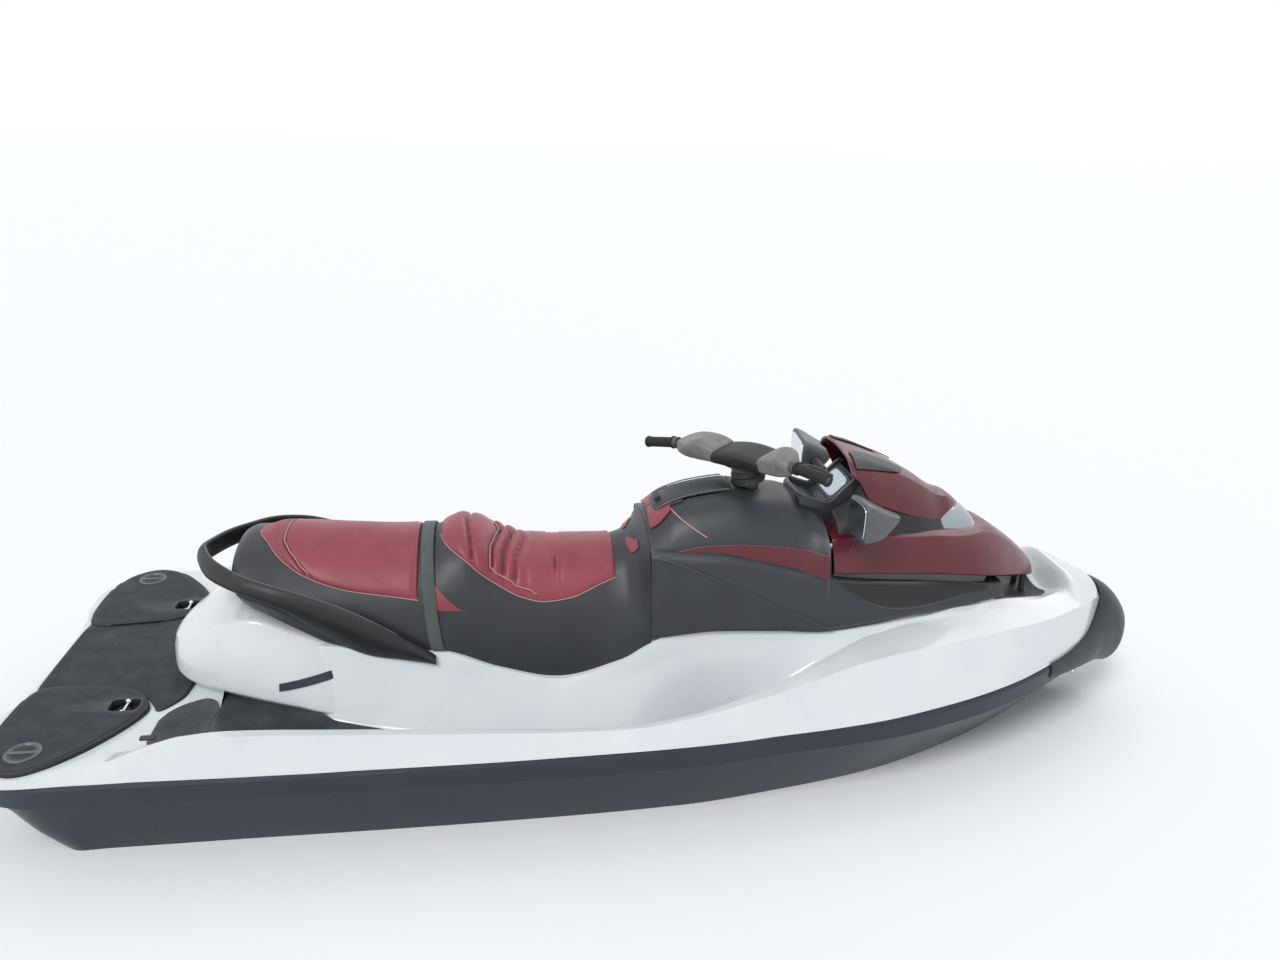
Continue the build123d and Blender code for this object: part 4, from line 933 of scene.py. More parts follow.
@dataclass
class Hull:
    """Dark underwater body with its rub band, chines and jet tunnel, and the soft bow bumper."""

    band: float = 60.0
    proud: float = 7.0
    step: float = 24.0

    def rows(self) -> list[Row]:
        """Half sections: inside, top, band, side, chine, strake and keel, from inside to keel."""
        table = [
            # x, beam, top, side foot, chine, chine height, keel, inside floor
            (-1758, 500, 236, 205, 440, 202, 200, 232),
            (-1700, 566, 237, 150, 500, 146, 142, 232),
            (-1600, 594, 239, 60, 540, 44, 38, 225),
            (-1540, 598, 241, 10, 534, -20, -60, 215),
            (-1502, 600, 242, -20, 520, -58, -222, 205),
            (-1440, 602, 243, -20, 512, -70, -228, 120),
            (-1100, 608, 245, -10, 508, -78, -252, 100),
            (-700, 612, 247, -5, 506, -85, -275, 100),
            (-300, 611, 248, 0, 500, -84, -284, 100),
            (100, 598, 249, 10, 486, -78, -285, 100),
            (400, 560, 250, 30, 452, -64, -281, 110),
            (700, 523, 252, 50, 396, -38, -270, 120),
            (1000, 450, 262, 80, 304, -4, -228, 140),
            (1200, 376, 276, 110, 236, 32, -168, 160),
            (1380, 284, 292, 150, 156, 74, -82, 190),
            (1500, 198, 304, 180, 98, 118, -4, 215),
            (1590, 112, 312, 215, 54, 156, 70, 240),
            (1648, 44, 318, 250, 24, 206, 132, 270),
        ]
        rows = []
        for x, beam, top, foot, chine, chine_z, keel, floor in table:
            low = max(top - self.band, foot + 4)
            rows.append((x, [
                (0, floor), (max(beam - 60, 6), floor), (max(beam - 24, 8), top), (beam, top),
                (beam + self.proud, top - 10), (beam + self.proud, low), (beam - 8, low - 6),
                (chine + 0.45 * (beam - chine), foot), (chine, chine_z),
                (chine * 0.9, chine_z - 16), (chine * 0.55, chine_z + (keel - chine_z) * 0.45), (0, keel)]))
        return rows

    def rings(self, form: Form) -> list[list[Point]]:
        """Closed loops along the hull from its section table."""
        places = spread(-1758, -1480, 10.0) + spread(-1480, 1400, self.step) + spread(1400, 1648, 12.0)
        return [both_sides(x, form.outline(x)) for x in sorted(set(places))]

    def build(self) -> Piece:
        """Make the hull, and cut the jet tunnel, the gate's recess and the intake duct in it."""
        form = Form(self.rows(), [1, 1, 3, 3, 3, 3, 3, 1, 3, 2, 1, 2])
        body = ring_piece("hull_moulding", self.rings(form), 36.0)
        tunnel = [(-1503, 8), (-1186, 8), (-1186, -330), (-1503, -330)]
        gate_recess = [(-1470, 76), (-1790, 76), (-1790, -60), (-1470, -60)]
        intake_duct = [(-1188, -24), (-1188, -330), (-690, -330), (-770, -240), (-1000, -80)]
        cut(body, prism(tunnel, 130), prism(gate_recess, 136), prism(intake_duct, 76))
        return finished(smoothed(body, 36.0), HULL_GEL, Body.CRAFT, "hull")

    def bumper(self) -> Piece:
        """Make the soft nose that wraps round the stem."""
        table = [
            # x, y of its root, how far it stands out, top, foot, how far its lip reaches back and up
            (1300, 334, 7, 296, 240, 8, 0), (1360, 303, 10, 300, 232, 8, 0), (1425, 262, 15, 309, 222, 10, 0),
            (1500, 205, 24, 324, 205, 12, 0), (1560, 150, 36, 352, 182, 14, 4),
            (1610, 98, 56, 382, 150, 22, 10),
            (1640, 52, 86, 396, 120, 36, 20), (1650, 0, 115, 400, 106, 48, 26),
        ]
        path = table + [(x, -y, *rest) for x, y, *rest in reversed(table[:-1])]
        rings = []
        for (x, y, out, top, foot, back, lift), along in walked(path, 96):
            away = Vector((-along.y, along.x, 0))
            tall = top - foot
            shape = [(-14, foot + 0.3 * tall), (-back, top + lift - 12), (-back + 6, top + lift),
                     (0, top + 0.2 * lift), (0.3 * out, top - 0.06 * tall), (0.62 * out, top - 0.2 * tall),
                     (0.88 * out, top - 0.35 * tall), (out, top - 0.52 * tall),
                     (0.98 * out, foot + 0.26 * tall), (0.66 * out, foot + 0.06 * tall), (0.1 * out, foot)]
            rings.append([tuple(Vector((x, y, z)) + away * d) for d, z in closed_spline(shape, 4)])
        piece = ring_piece("bow_bumper_moulding", rings, 45.0)
        return finished(piece, BUMPER, Body.CRAFT, "bow_bumper")


def eased_row(rows: Sequence[Sequence[float]], at: float) -> list[float]:
    """Row of a table at a fractional place, by a smooth curve through every column."""
    count = len(rows)
    i = min(int(at), count - 2)
    t = at - i
    p0, p1, p2, p3 = rows[max(i - 1, 0)], rows[i], rows[i + 1], rows[min(i + 2, count - 1)]
    return [0.5 * (2 * b + (c - a) * t + (2 * a - 5 * b + 4 * c - d) * t * t + (3 * b - a - 3 * c + d) * t**3)
            for a, b, c, d in zip(p0, p1, p2, p3)]


def walked(path: Sequence[Sequence[float]], count: int) -> list[tuple[list[float], Vector]]:
    """Rows of a path's table at even steps along it, each with the path's direction in plan."""
    last = len(path) - 1
    result = []
    for k in range(count + 1):
        at = last * k / count
        ahead, behind = eased_row(path, min(at + 0.05, last)), eased_row(path, max(at - 0.05, 0))
        along = Vector((ahead[0] - behind[0], ahead[1] - behind[1], 0)).normalized()
        result.append((eased_row(path, at), along))
    return result


def eased_rings(rows: Sequence[Sequence[float]], count: int) -> list[list[float]]:
    """Rows of a table at even steps from its first to its last row."""
    return [eased_row(rows, (len(rows) - 1) * k / count) for k in range(count + 1)]


def closed_spline(shape: Sequence[Pair], fine: int) -> list[Pair]:
    """Closed smooth loop round a control polygon."""
    count = len(shape)
    return [spline_point([shape[(k + n) % count] for n in range(4)], step / fine)
            for k in range(count) for step in range(fine)]


@dataclass
class Cushion:
    """Seat part: a vinyl-covered body from half sections, and the sewn panel over its top.

    Attributes:
        name: the part's name.
        rows: x and half sections from the foot of the flank to the crown.
        hold: bend of each point of the section.
        seam: x and height of the panel's seam on the flank.
        thick: how far the panel stands off the body.
    """

    name: str
    rows: list[Row]
    hold: list[int]
    seam: list[Pair]
    thick: float = 9.0
    step: float = 9.0

    def form(self) -> Form:
        """The body's surface."""
        return Form(self.rows, self.hold)

    def body(self, node: str, low: Callable[[float], float]) -> Piece:
        """Make the covered body.

        Args:
            node: the CAD node that it stands for.
            low: height of its underside by x.

        Returns:
            The object.
        """
        form = self.form()
        rings = []
        for x in spread(form.keys[0], form.keys[-1], self.step):
            half = form.outline(x)
            foot_y, foot_z = half[0]
            floor = min(low(x), foot_z - 2)
            rings.append(both_sides(x, [(0.0, floor), (0.7 * foot_y, floor),
                                        (foot_y - 6, foot_z - 2)] + half))
        piece = ring_piece(self.name, rings, 40.0)
        return finished(piece, VINYL_GREY, Body.CRAFT, node)

    def arc(self, form: Form, x: float) -> tuple[list[Pair], float]:
        """Outline at x from the crown out to the seam, and its length."""
        half = list(reversed(form.outline(x, 5)))
        goal = read(self.seam, x)
        run = [half[0]]
        for a, b in zip(half, half[1:]):
            if b[1] <= goal and a[1] > b[1]:
                t = min(max((a[1] - goal) / (a[1] - b[1]), 0.0), 1.0)
                run.append(tuple(p + (q - p) * t for p, q in zip(a, b)))
                break
            run.append(b)
        return run, sum(math.dist(a, b) for a, b in zip(run, run[1:]))

    def seam_path(self, proud: float) -> list[Point]:
        """The port seam as a path in space, standing proud of the body."""
        form = self.form()
        port = []
        for x in spread(self.seam[0][0], self.seam[-1][0], self.step):
            run, _ = self.arc(form, x)
            (y0, z0), (y1, z1) = run[-2], run[-1]
            tangent = Vector((y1 - y0, z1 - z0)).normalized()
            port.append((x, y1 - tangent.y * proud, z1 + tangent.x * proud))
        return port

    def spot(self, x: float, t: float, rise: float) -> Point:
        """Point on the port side of the panel at x and t, at a height over its plain top."""
        run, _ = self.arc(self.form(), x)
        even = resampled(run, HALF_COLUMNS + 1)
        y, z, along = heading(even, min(max(round(t * HALF_COLUMNS), 0), HALF_COLUMNS))
        out = self.thick + rise
        return (x, max(y - along.y * out, 0.0), z + along.x * out)

    def panel(self, name: str, relief: Callable[[float, float], float]) -> Piece:
        """Make the sewn panel that wraps over the top down to the seam on both sides.

        Args:
            name: the panel's name.
            relief: extra height by x and by t, which is 0 at the crown and 1 at the seam.

        Returns:
            The object.
        """
        form = self.form()
        first, last = self.seam[0][0], self.seam[-1][0]
        rings = []
        for x in spread(first, last, self.step * 0.6):
            run, _ = self.arc(form, x)
            ease = rounded_end(x, first, last, 26, 16)
            even = resampled(run, HALF_COLUMNS + 1)
            top, under = [], []
            for k in range(len(even)):
                y, z, along = heading(even, k)
                normal = Vector((-along.y, along.x))
                t = k / HALF_COLUMNS
                dome = (1 - t**10) ** 0.5 if t < 1 else 0.0
                rise = (self.thick * dome + relief(x, t) * dome) * ease + 0.2
                top.append((y + normal.x * rise, z + normal.y * rise))
                under.append((y - normal.x * 4, z - normal.y * 4))
            rings.append(both_sides(x, under + list(reversed(top))))
        piece = ring_piece(name, rings, 50.0)
        return finished(piece, VINYL_RED, Body.CRAFT)


def turned(name: str, place: Point, axis: Point, profile: Sequence[Pair], finish: Finish, body: Body,
           *nodes: str, sides: int = 32) -> Piece:
    """Part turned about an axis.

    Args:
        name: the piece's name.
        place: the axis's foot.
        axis: the way that the axis points.
        profile: radius and height along the axis, from the foot up.
        finish: its finish.
        body: the body that it rides on.
        nodes: CAD nodes that it replaces.
        sides: facets round it.

    Returns:
        The object.
    """
    up = Vector(axis).normalized()
    side = up.orthogonal().normalized()
    other = up.cross(side)
    rings = []
    for radius, rise in profile:
        turn = [2 * math.pi * k / sides for k in range(sides)]
        rings.append([tuple(Vector(place) + up * rise + side * (radius * math.cos(a))
                            + other * (radius * math.sin(a))) for a in turn])
    return finished(ring_piece(name, rings, 35.0), finish, body, *nodes)


def block(low: Point, high: Point, edge: float) -> Piece:
    """Box with rounded edges between two corners."""
    shell = bmesh.new()
    bmesh.ops.create_cube(shell, size=1.0)
    for vert in shell.verts:
        vert.co = Vector([(a + b) / 2 + (b - a) * c for a, b, c in zip(low, high, vert.co)]) * MM
    bmesh.ops.bevel(shell, geom=shell.edges[:], offset=edge * MM, segments=3, affect="EDGES", profile=0.5)
    mesh = bpy.data.meshes.new("block")
    shell.to_mesh(mesh)
    shell.free()
    return smoothed(new_object("block", mesh), 40.0)


def rounded_square(count: int) -> list[Pair]:
    """Points round a square of half width 1 with rounded corners."""

    def squared(value: float) -> float:
        """Cosine or sine pushed towards a square."""
        return math.copysign(abs(value) ** SQUARENESS, value)

    turns = [2 * math.pi * k / count for k in range(count)]
    return [(squared(math.cos(t)), squared(math.sin(t))) for t in turns]


def smooth_plan(outline: Sequence[Pair], step: float) -> list[Pair]:
    """Closed smooth outline in plan through given corners."""
    return [(x, y) for x, y, _ in eased([(x, y, 0) for x, y in outline], step, True)]


def mirrored_plan(outline: Sequence[Pair]) -> list[Pair]:
    """The same outline on the other side of the centre plane, run the other way."""
    return [(x, -y) for x, y in reversed(outline)]


def inset(outline: Sequence[Pair], distance: float) -> list[Pair]:
    """Closed outline moved inwards by a distance."""
    count = len(outline)
    area = sum(outline[k][0] * outline[(k + 1) % count][1] - outline[(k + 1) % count][0] * outline[k][1]
               for k in range(count))
    sign = 1 if area > 0 else -1
    result = []
    for k in range(count):
        (x0, y0), (x1, y1) = outline[k - 1], outline[(k + 1) % count]
        along = Vector((x1 - x0, y1 - y0)).normalized()
        result.append((outline[k][0] - along.y * distance * sign, outline[k][1] + along.x * distance * sign))
    return result


def flank_patch(name: str, form: Form, side: int, corners: Sequence[tuple[float, float, float]], rise: float,
                step: float, finish: Finish, body: Body = Body.CRAFT) -> Piece:
    """Thin patch on one flank of a form, between a low and a high line.

    Args:
        name: the piece's name.
        form: the surface that it follows.
        side: 1 for port and -1 for starboard.
        corners: x, low height and high height at places along it.
        rise: how far it stands off.
        step: spacing of its rows.
        finish: its finish.
        body: the body that it rides on.

    Returns:
        The object.
    """
    rows = []
    for x in spread(corners[0][0], corners[-1][0], step):
        low, high = read(corners, x, 1), read(corners, x, 2)
        heights = spread(low, max(high, low + 0.4), max(high - low, 0.4) / 10)
        rows.append(flank_points(form, side, x, heights, rise))
    flat = [p for row in rows for p in row]
    faces = grid_faces(len(rows), len(rows[0]))
    if side > 0:
        faces = [tuple(reversed(f)) for f in faces]
    return finished(smoothed(thickened(faced(name, flat, faces), rise + 0.8), 45.0), finish, body)


def flank_points(form: Form, side: int, x: float, heights: Sequence[float], rise: float) -> list[Point]:
    """Points at x on one flank of a form at given heights, standing off it."""
    half = form.outline(x, 6)
    spots = [on_outline(half, height) for height in heights]
    return [(x, side * (y + normal[0] * rise), z + normal[1] * rise) for y, z, normal in spots]


def flank_bead(name: str, form: Form, side: int, route: Sequence[Pair], rise: float, radius: float,
               finish: Finish, body: Body = Body.CRAFT, sides: int = 8) -> Piece:
    """Finished bead on one flank of a form.

    Args:
        name: the piece's name.
        form: the surface that it follows.
        side: 1 for port and -1 for starboard.
        route: x and height of its points.
        rise: how far its middle stands off.
        radius: its radius.
        finish: its finish.
        body: the body that it rides on.
        sides: facets round it.

    Returns:
        The object.
    """
    path = [flank_points(form, side, x, [height], rise)[0] for x, height in route]
    return SWEEPER.sweep(name, [path], radius, finish, body, sides=sides)


def on_outline(half: Sequence[Pair], height: float) -> tuple[float, float, Pair]:
    """Outermost point of a half outline at a height, and the normal there."""
    best = None
    for (y0, z0), (y1, z1) in zip(half, half[1:]):
        if min(z0, z1) <= height <= max(z0, z1) and z0 != z1:
            y = y0 + (y1 - y0) * (height - z0) / (z1 - z0)
            if best is None or y > best[0]:
                along = Vector((y1 - y0, z1 - z0)).normalized()
                best = (y, height, (along.y, -along.x))
    if best is None:
        y, z = min(half, key=lambda p: abs(p[1] - height))
        best = (y, z, (1.0, 0.0))
    return best


@dataclass
class Platform:
    """Traction mats, ring caps and mooring cups of the stern platform."""

    top: float = 262.0
    raised: float = 14.0
    edging: float = 13.0
    cap_radius: float = 44.0
    cap_place: Pair = (-1640.0, 500.0)
    side_mat: list[Pair] = field(default_factory=lambda: [
        (-1754, 376), (-1750, 264), (-1736, 204), (-1690, 180), (-1590, 186), (-1500, 200), (-1440, 230),
        (-1402, 282), (-1398, 335), (-1446, 426), (-1522, 520), (-1590, 572), (-1656, 580), (-1716, 536),
        (-1746, 460)])
    centre_mat: list[Pair] = field(default_factory=lambda: [
        (-1740, 176), (-1726, 198), (-1690, 190), (-1590, 196), (-1490, 212), (-1424, 244), (-1392, 286),
        (-1366, 318), (-1322, 262), (-1310, 196), (-1310, 100), (-1310, 30)])

    def build(self) -> None:
        """Make the mats, the caps and the cups."""
        loop = smooth_plan(self.centre_mat + mirrored_plan(self.centre_mat), 14)
        edging = rounded_slab("centre_mat_edging", loop, self.top - 2, self.top + 5.4, 2.5)
        finished(edging, EDGING, Body.CRAFT)
        pad = rounded_slab("centre_mat_pad", inset(loop, 7), self.top, self.top + 6.6, 1.2)
        finished(pad, TREAD, Body.CRAFT, "centre_mat")
        (cup_x, cup_y), (long, wide) = CUP_PLACE, CUP_SIZE
        for side, name in SIDES:
            loop = smooth_plan([(x, side * y) for x, y in self.side_mat], 10)
            hole = [(cup_x - long / 2 + 1, side * cup_y - wide / 2 + 1, self.top - 30),
                    (cup_x + long / 2 - 1, side * cup_y + wide / 2 - 1, self.top + 60)]
            rim = self.top + self.raised
            edge = rounded_slab(f"side_mat_edging_{name}", loop, self.top - 2, rim, 6)
            pad = rounded_slab(f"side_mat_pad_{name}", inset(loop, self.edging), self.top, rim + 1.6, 2)
            for part, finish, nodes in ((edge, EDGING, ()), (pad, TREAD, paired(side, "side_mats"))):
                finished(smoothed(cut(part, block(*hole, 8)), 40), finish, Body.CRAFT, *nodes)
            self.cup(name, side)
            self.ring_cap(name, side)
        log.info("platform dressed")

    def cup(self, name: str, side: int) -> None:
        """Hollow with its bar."""
        (cup_x, cup_y), (long, wide) = CUP_PLACE, CUP_SIZE

        def loop(grow: float, height: float) -> list[Point]:
            """Rounded rectangle at a height."""
            a, b = long / 2 + grow, wide / 2 + grow
            return [(cup_x + a * u, side * cup_y + b * v, height) for u, v in rounded_square(40)]

        top = self.top + self.raised
        rings = [loop(-5, self.top - 17.5), loop(-1, self.top - 16), loop(-0.6, top), loop(1.0, top + 1.6),
                 loop(-1.6, top + 2.2), loop(-3.4, top - 1), loop(-4, self.top - 10),
                 loop(-12, self.top - 15)]
        finished(ring_piece(f"mooring_cup_liner_{name}", rings, 40), BLACK, Body.CRAFT)
        heads = [((cup_x, side * (cup_y + way * (wide / 2 - 7)), self.top + 8), (0, -way * side, 0.3))
                 for way in (1, -1)]
        SWEEPER.heads(f"mooring_bar_ends_{name}", heads, 9, 4, STEEL)

    def ring_cap(self, name: str, side: int) -> None:
        """Round cap with its bar across, let into the mat."""
        x, y = self.cap_place[0], side * self.cap_place[1]
        top = self.top + self.raised
        place, up = (x, y, top), (0, 0, 1)
        radius = self.cap_radius
        ring = [(radius - 4, -1), (radius, 0.5), (radius, 3.5), (radius - 2, 5), (radius - 7, 5),
                (radius - 9, 3.4), (radius - 10, 2.2)]
        well = [(radius - 12, 1), (radius - 12, 2.6), (radius - 16, 3.1), (8, 2.6)]
        turned(f"ring_cap_{name}", place, up, ring, GREY, Body.CRAFT, *paired(side, "ring_caps"))
        turned(f"ring_cap_well_{name}", place, up, well, BLACK, Body.CRAFT)
        bar = block((x - radius + 6, y - 5, top + 1), (x + radius - 6, y + 5, top + 5), 1.6)
        bar.name = f"ring_cap_bar_{name}"
        finished(bar, GREY, Body.CRAFT)


@dataclass
class FootwellMats:
    """Foam mats on the floors of the footwells; the long ones run up the pedestal's foot as painted shade
    under the rear pod.
    """

    deck: Deck
    thick: float = 5.0
    # height of the dark band that paints the rear pod's shade up the pedestal's foot
    painted_shade_climb: float = 48.0
    last: float = 330.0

    def build(self) -> None:
        """Make a long mat and a short aft piece on each side."""
        for side, name in SIDES:
            for low, high, part in ((-1206, self.last, "long"), (-1352, -1210, "aft")):
                rings = [self.ring(side, x, low, high) for x in spread(low, high, 14)]
                nodes = paired(side, "footwell_mats") if part == "long" else ()
                finished(ring_piece(f"footwell_mat_{part}_{name}", rings, 40), TREAD, Body.CRAFT, *nodes)

    def ring(self, side: int, x: float, low: float, high: float) -> list[Point]:
        """Closed section of the mat at x."""
        section = self.deck.form.section(x)
        (outer, outer_z), (inner, inner_z) = section[3], section[4]
        ease = rounded_end(x, low, high, 40, 40)
        out, into = outer - 10, inner + 5 + 90 * max(0.0, (-1250 - x) / 100) ** 1.3
        mid = (out + into) / 2
        out, into = mid + (out - mid) * (0.7 + 0.3 * ease), mid + (into - mid) * (0.7 + 0.3 * ease)
        top = self.thick
        shape = [(out, 0.6), (out, top - 1.5), (out - 1.5, top), (mid, top), (into + 1.5, top),
                 (into, top - 1.5),
                 (into, 0.6), (mid, 0.6)]
        slope = (outer_z - inner_z) / (outer - inner)
        ring = [(x, side * y, inner_z + slope * (y - inner) + z) for y, z in shape]
        if high < self.last:
            return ring
        # the long mat also runs up the pedestal's foot, under the edge of the rear pod: a dark band that
        # paints the pod's shade on the white wall
        (toe, toe_z), (head, head_z) = section[5], section[6]
        full = min(1.0, max(0.0, (-890 - x) / 130))
        wall, wall_z = toe + (head - toe) * self.painted_shade_climb / (head_z - toe_z), toe_z + self.painted_shade_climb
        skirt = [(toe + 4.5, toe_z + 3), (wall + 4, wall_z + 1), (wall - 2, wall_z + 1), (toe - 2, toe_z - 3)]
        edge = [(into + 0.6, top - 0.4), (into + 0.2, top - 1.2), (into, top - 2.2), (into, 1.8)]
        flat = [(y, inner_z + slope * (y - inner) + z) for y, z in edge]
        rise = [tuple(p + (q - p) * full for p, q in zip(low_point, high_point))
                for low_point, high_point in zip(flat, skirt)]
        return ring[:5] + [(x, side * y, z) for y, z in rise] + ring[6:]


@dataclass
class GrabRail:
    """Loop round the back of the seat that flares into two long feet."""

    thick: float = 32.0
    # x, y, top, foot, and how far the foot leans in
    route: list[tuple[float, ...]] = field(default_factory=lambda: [
        (-1294, 0, 634, 570, 0), (-1276, 56, 634, 570, 0), (-1246, 112, 634, 571, 0),
        (-1204, 162, 632, 573, 0),
        (-1140, 222, 628, 576, 0), (-1070, 256, 617, 561, 4), (-1000, 272, 600, 524, 14),
        (-893, 282, 562, 424, 40),
        (-801, 288, 518, 386, 26), (-704, 290, 456, 372, 18), (-636, 290, 412, 362, 14),
        (-602, 288, 384, 356, 10)])

    def build(self) -> None:
        """Make the rail, and the pale grey bead along its upper edge that paints its highlight."""
        path = [(x, -y, *rest) for x, y, *rest in reversed(self.route[1:])] + self.route
        rings = []
        crest: list[Point] = []
        for (x, y, top, foot, lean), along in walked(path, 150):
            away = Vector((along.y, -along.x, 0))
            if away.dot(Vector((x + 900, y, 0))) < 0:
                away = -away
            half, tall = self.thick / 2, top - foot
            shape = [(-6 - lean, foot), (half - 5 - lean, foot + 1),
                     (half + 1 - 0.6 * lean, foot + 0.3 * tall),
                     (half - 1, foot + 0.66 * tall), (2, top - 2), (-half + 4, top), (-half, top - 5),
                     (-half + 1, foot + 0.55 * tall), (-half + 4 - 0.6 * lean, foot + 0.2 * tall)]
            rings.append([tuple(Vector((x, y, z)) + away * d) for d, z in closed_spline(shape, 3)])
            # path of the grey bead that paints the highlight along the rail's top edge
            crest.append(tuple(Vector((x, y, top - 1.5)) + away * (6 - half)))
        finished(ring_piece("grab_rail_moulding", rings, 45), BLACK, Body.CRAFT, "grab_rail")
        SWEEPER.sweep("grab_rail_painted_highlight", [crest[14:-14]], 1.6, GREY, Body.CRAFT, sides=8)


REAR_ROWS: list[Row] = [
    (-1186, [(60, 560), (86, 582), (96, 600), (88, 614), (66, 624), (34, 630), (0, 632)]),
    (-1178, [(96, 530), (148, 560), (160, 588), (138, 616), (104, 638), (52, 650), (0, 654)]),
    (-1150, [(140, 500), (206, 550), (211, 582), (176, 612), (136, 640), (68, 662), (0, 669)]),
    (-1108, [(166, 488), (232, 548), (222, 578), (186, 604), (142, 636), (72, 664), (0, 674)]),
    (-1007, [(204, 450), (247, 518), (231, 550), (190, 590), (144, 627), (72, 665), (0, 677)]),
    (-862, [(248, 404), (252, 478), (232, 536), (188, 582), (142, 619), (71, 655), (0, 667)]),
    (-715, [(262, 384), (250, 466), (228, 528), (184, 576), (140, 612), (70, 648), (0, 660)]),
    (-611, [(262, 370), (248, 458), (225, 526), (182, 578), (140, 616), (70, 652), (0, 664)]),
]
FRONT_ROWS: list[Row] = [
    (-609, [(262, 368), (248, 456), (225, 526), (182, 579), (140, 618), (70, 654), (0, 666)]),
    (-565, [(260, 352), (245, 450), (223, 528), (184, 590), (144, 634), (72, 671), (0, 683)]),
    (-519, [(258, 338), (242, 442), (221, 526), (184, 596), (144, 643), (72, 680), (0, 692)]),
    (-474, [(256, 324), (240, 434), (217, 518), (180, 586), (140, 631), (70, 666), (0, 678)]),
    (-414, [(256, 306), (238, 424), (212, 508), (174, 566), (136, 604), (69, 636), (0, 647)]),
    (-353, [(256, 288), (236, 412), (208, 500), (170, 552), (132, 586), (66, 615), (0, 625)]),
    (-229, [(256, 258), (234, 400), (204, 492), (164, 544), (128, 578), (64, 606), (0, 615)]),
    (-103, [(256, 300), (230, 408), (198, 494), (156, 546), (122, 578), (62, 606), (0, 615)]),
    (-40, [(255, 336), (230, 434), (192, 514), (146, 566), (114, 596), (58, 620), (0, 628)]),
    (0, [(256, 354), (236, 456), (204, 546), (152, 604), (112, 632), (56, 651), (0, 657)]),
    (30, [(262, 372), (252, 470), (233, 562), (206, 632), (136, 672), (60, 688), (0, 692)]),
]
SEAT_HOLD = [2, 1, 1, 1, 1, 1, 1]


def rounded_end(x: float, low: float, high: float, rise: float, fall: float) -> float:
    """Share of the full height at x, for a form with rounded ends.

    Args:
        x: the place.
        low: where the form begins.
        high: where it ends.
        rise: length of its first end.
        fall: length of its last end.

    Returns:
        0 at both ends and 1 between them, by a quarter circle.
    """
    share = min(1.0, (x - low) / rise, (high - x) / fall)
    return math.sqrt(max(0.0, 1 - (1 - share) ** 2))


def swell(at: float, line: float, width: float, high: float) -> float:
    """Height of a soft roll at a place near its line."""
    return high * math.exp(-((at - line) / width) ** 2)


def groove(at: float, line: float, width: float, deep: float) -> float:
    """Height of a sewn groove, which is below zero, at a place near its line."""
    return -swell(at, line, width, deep)


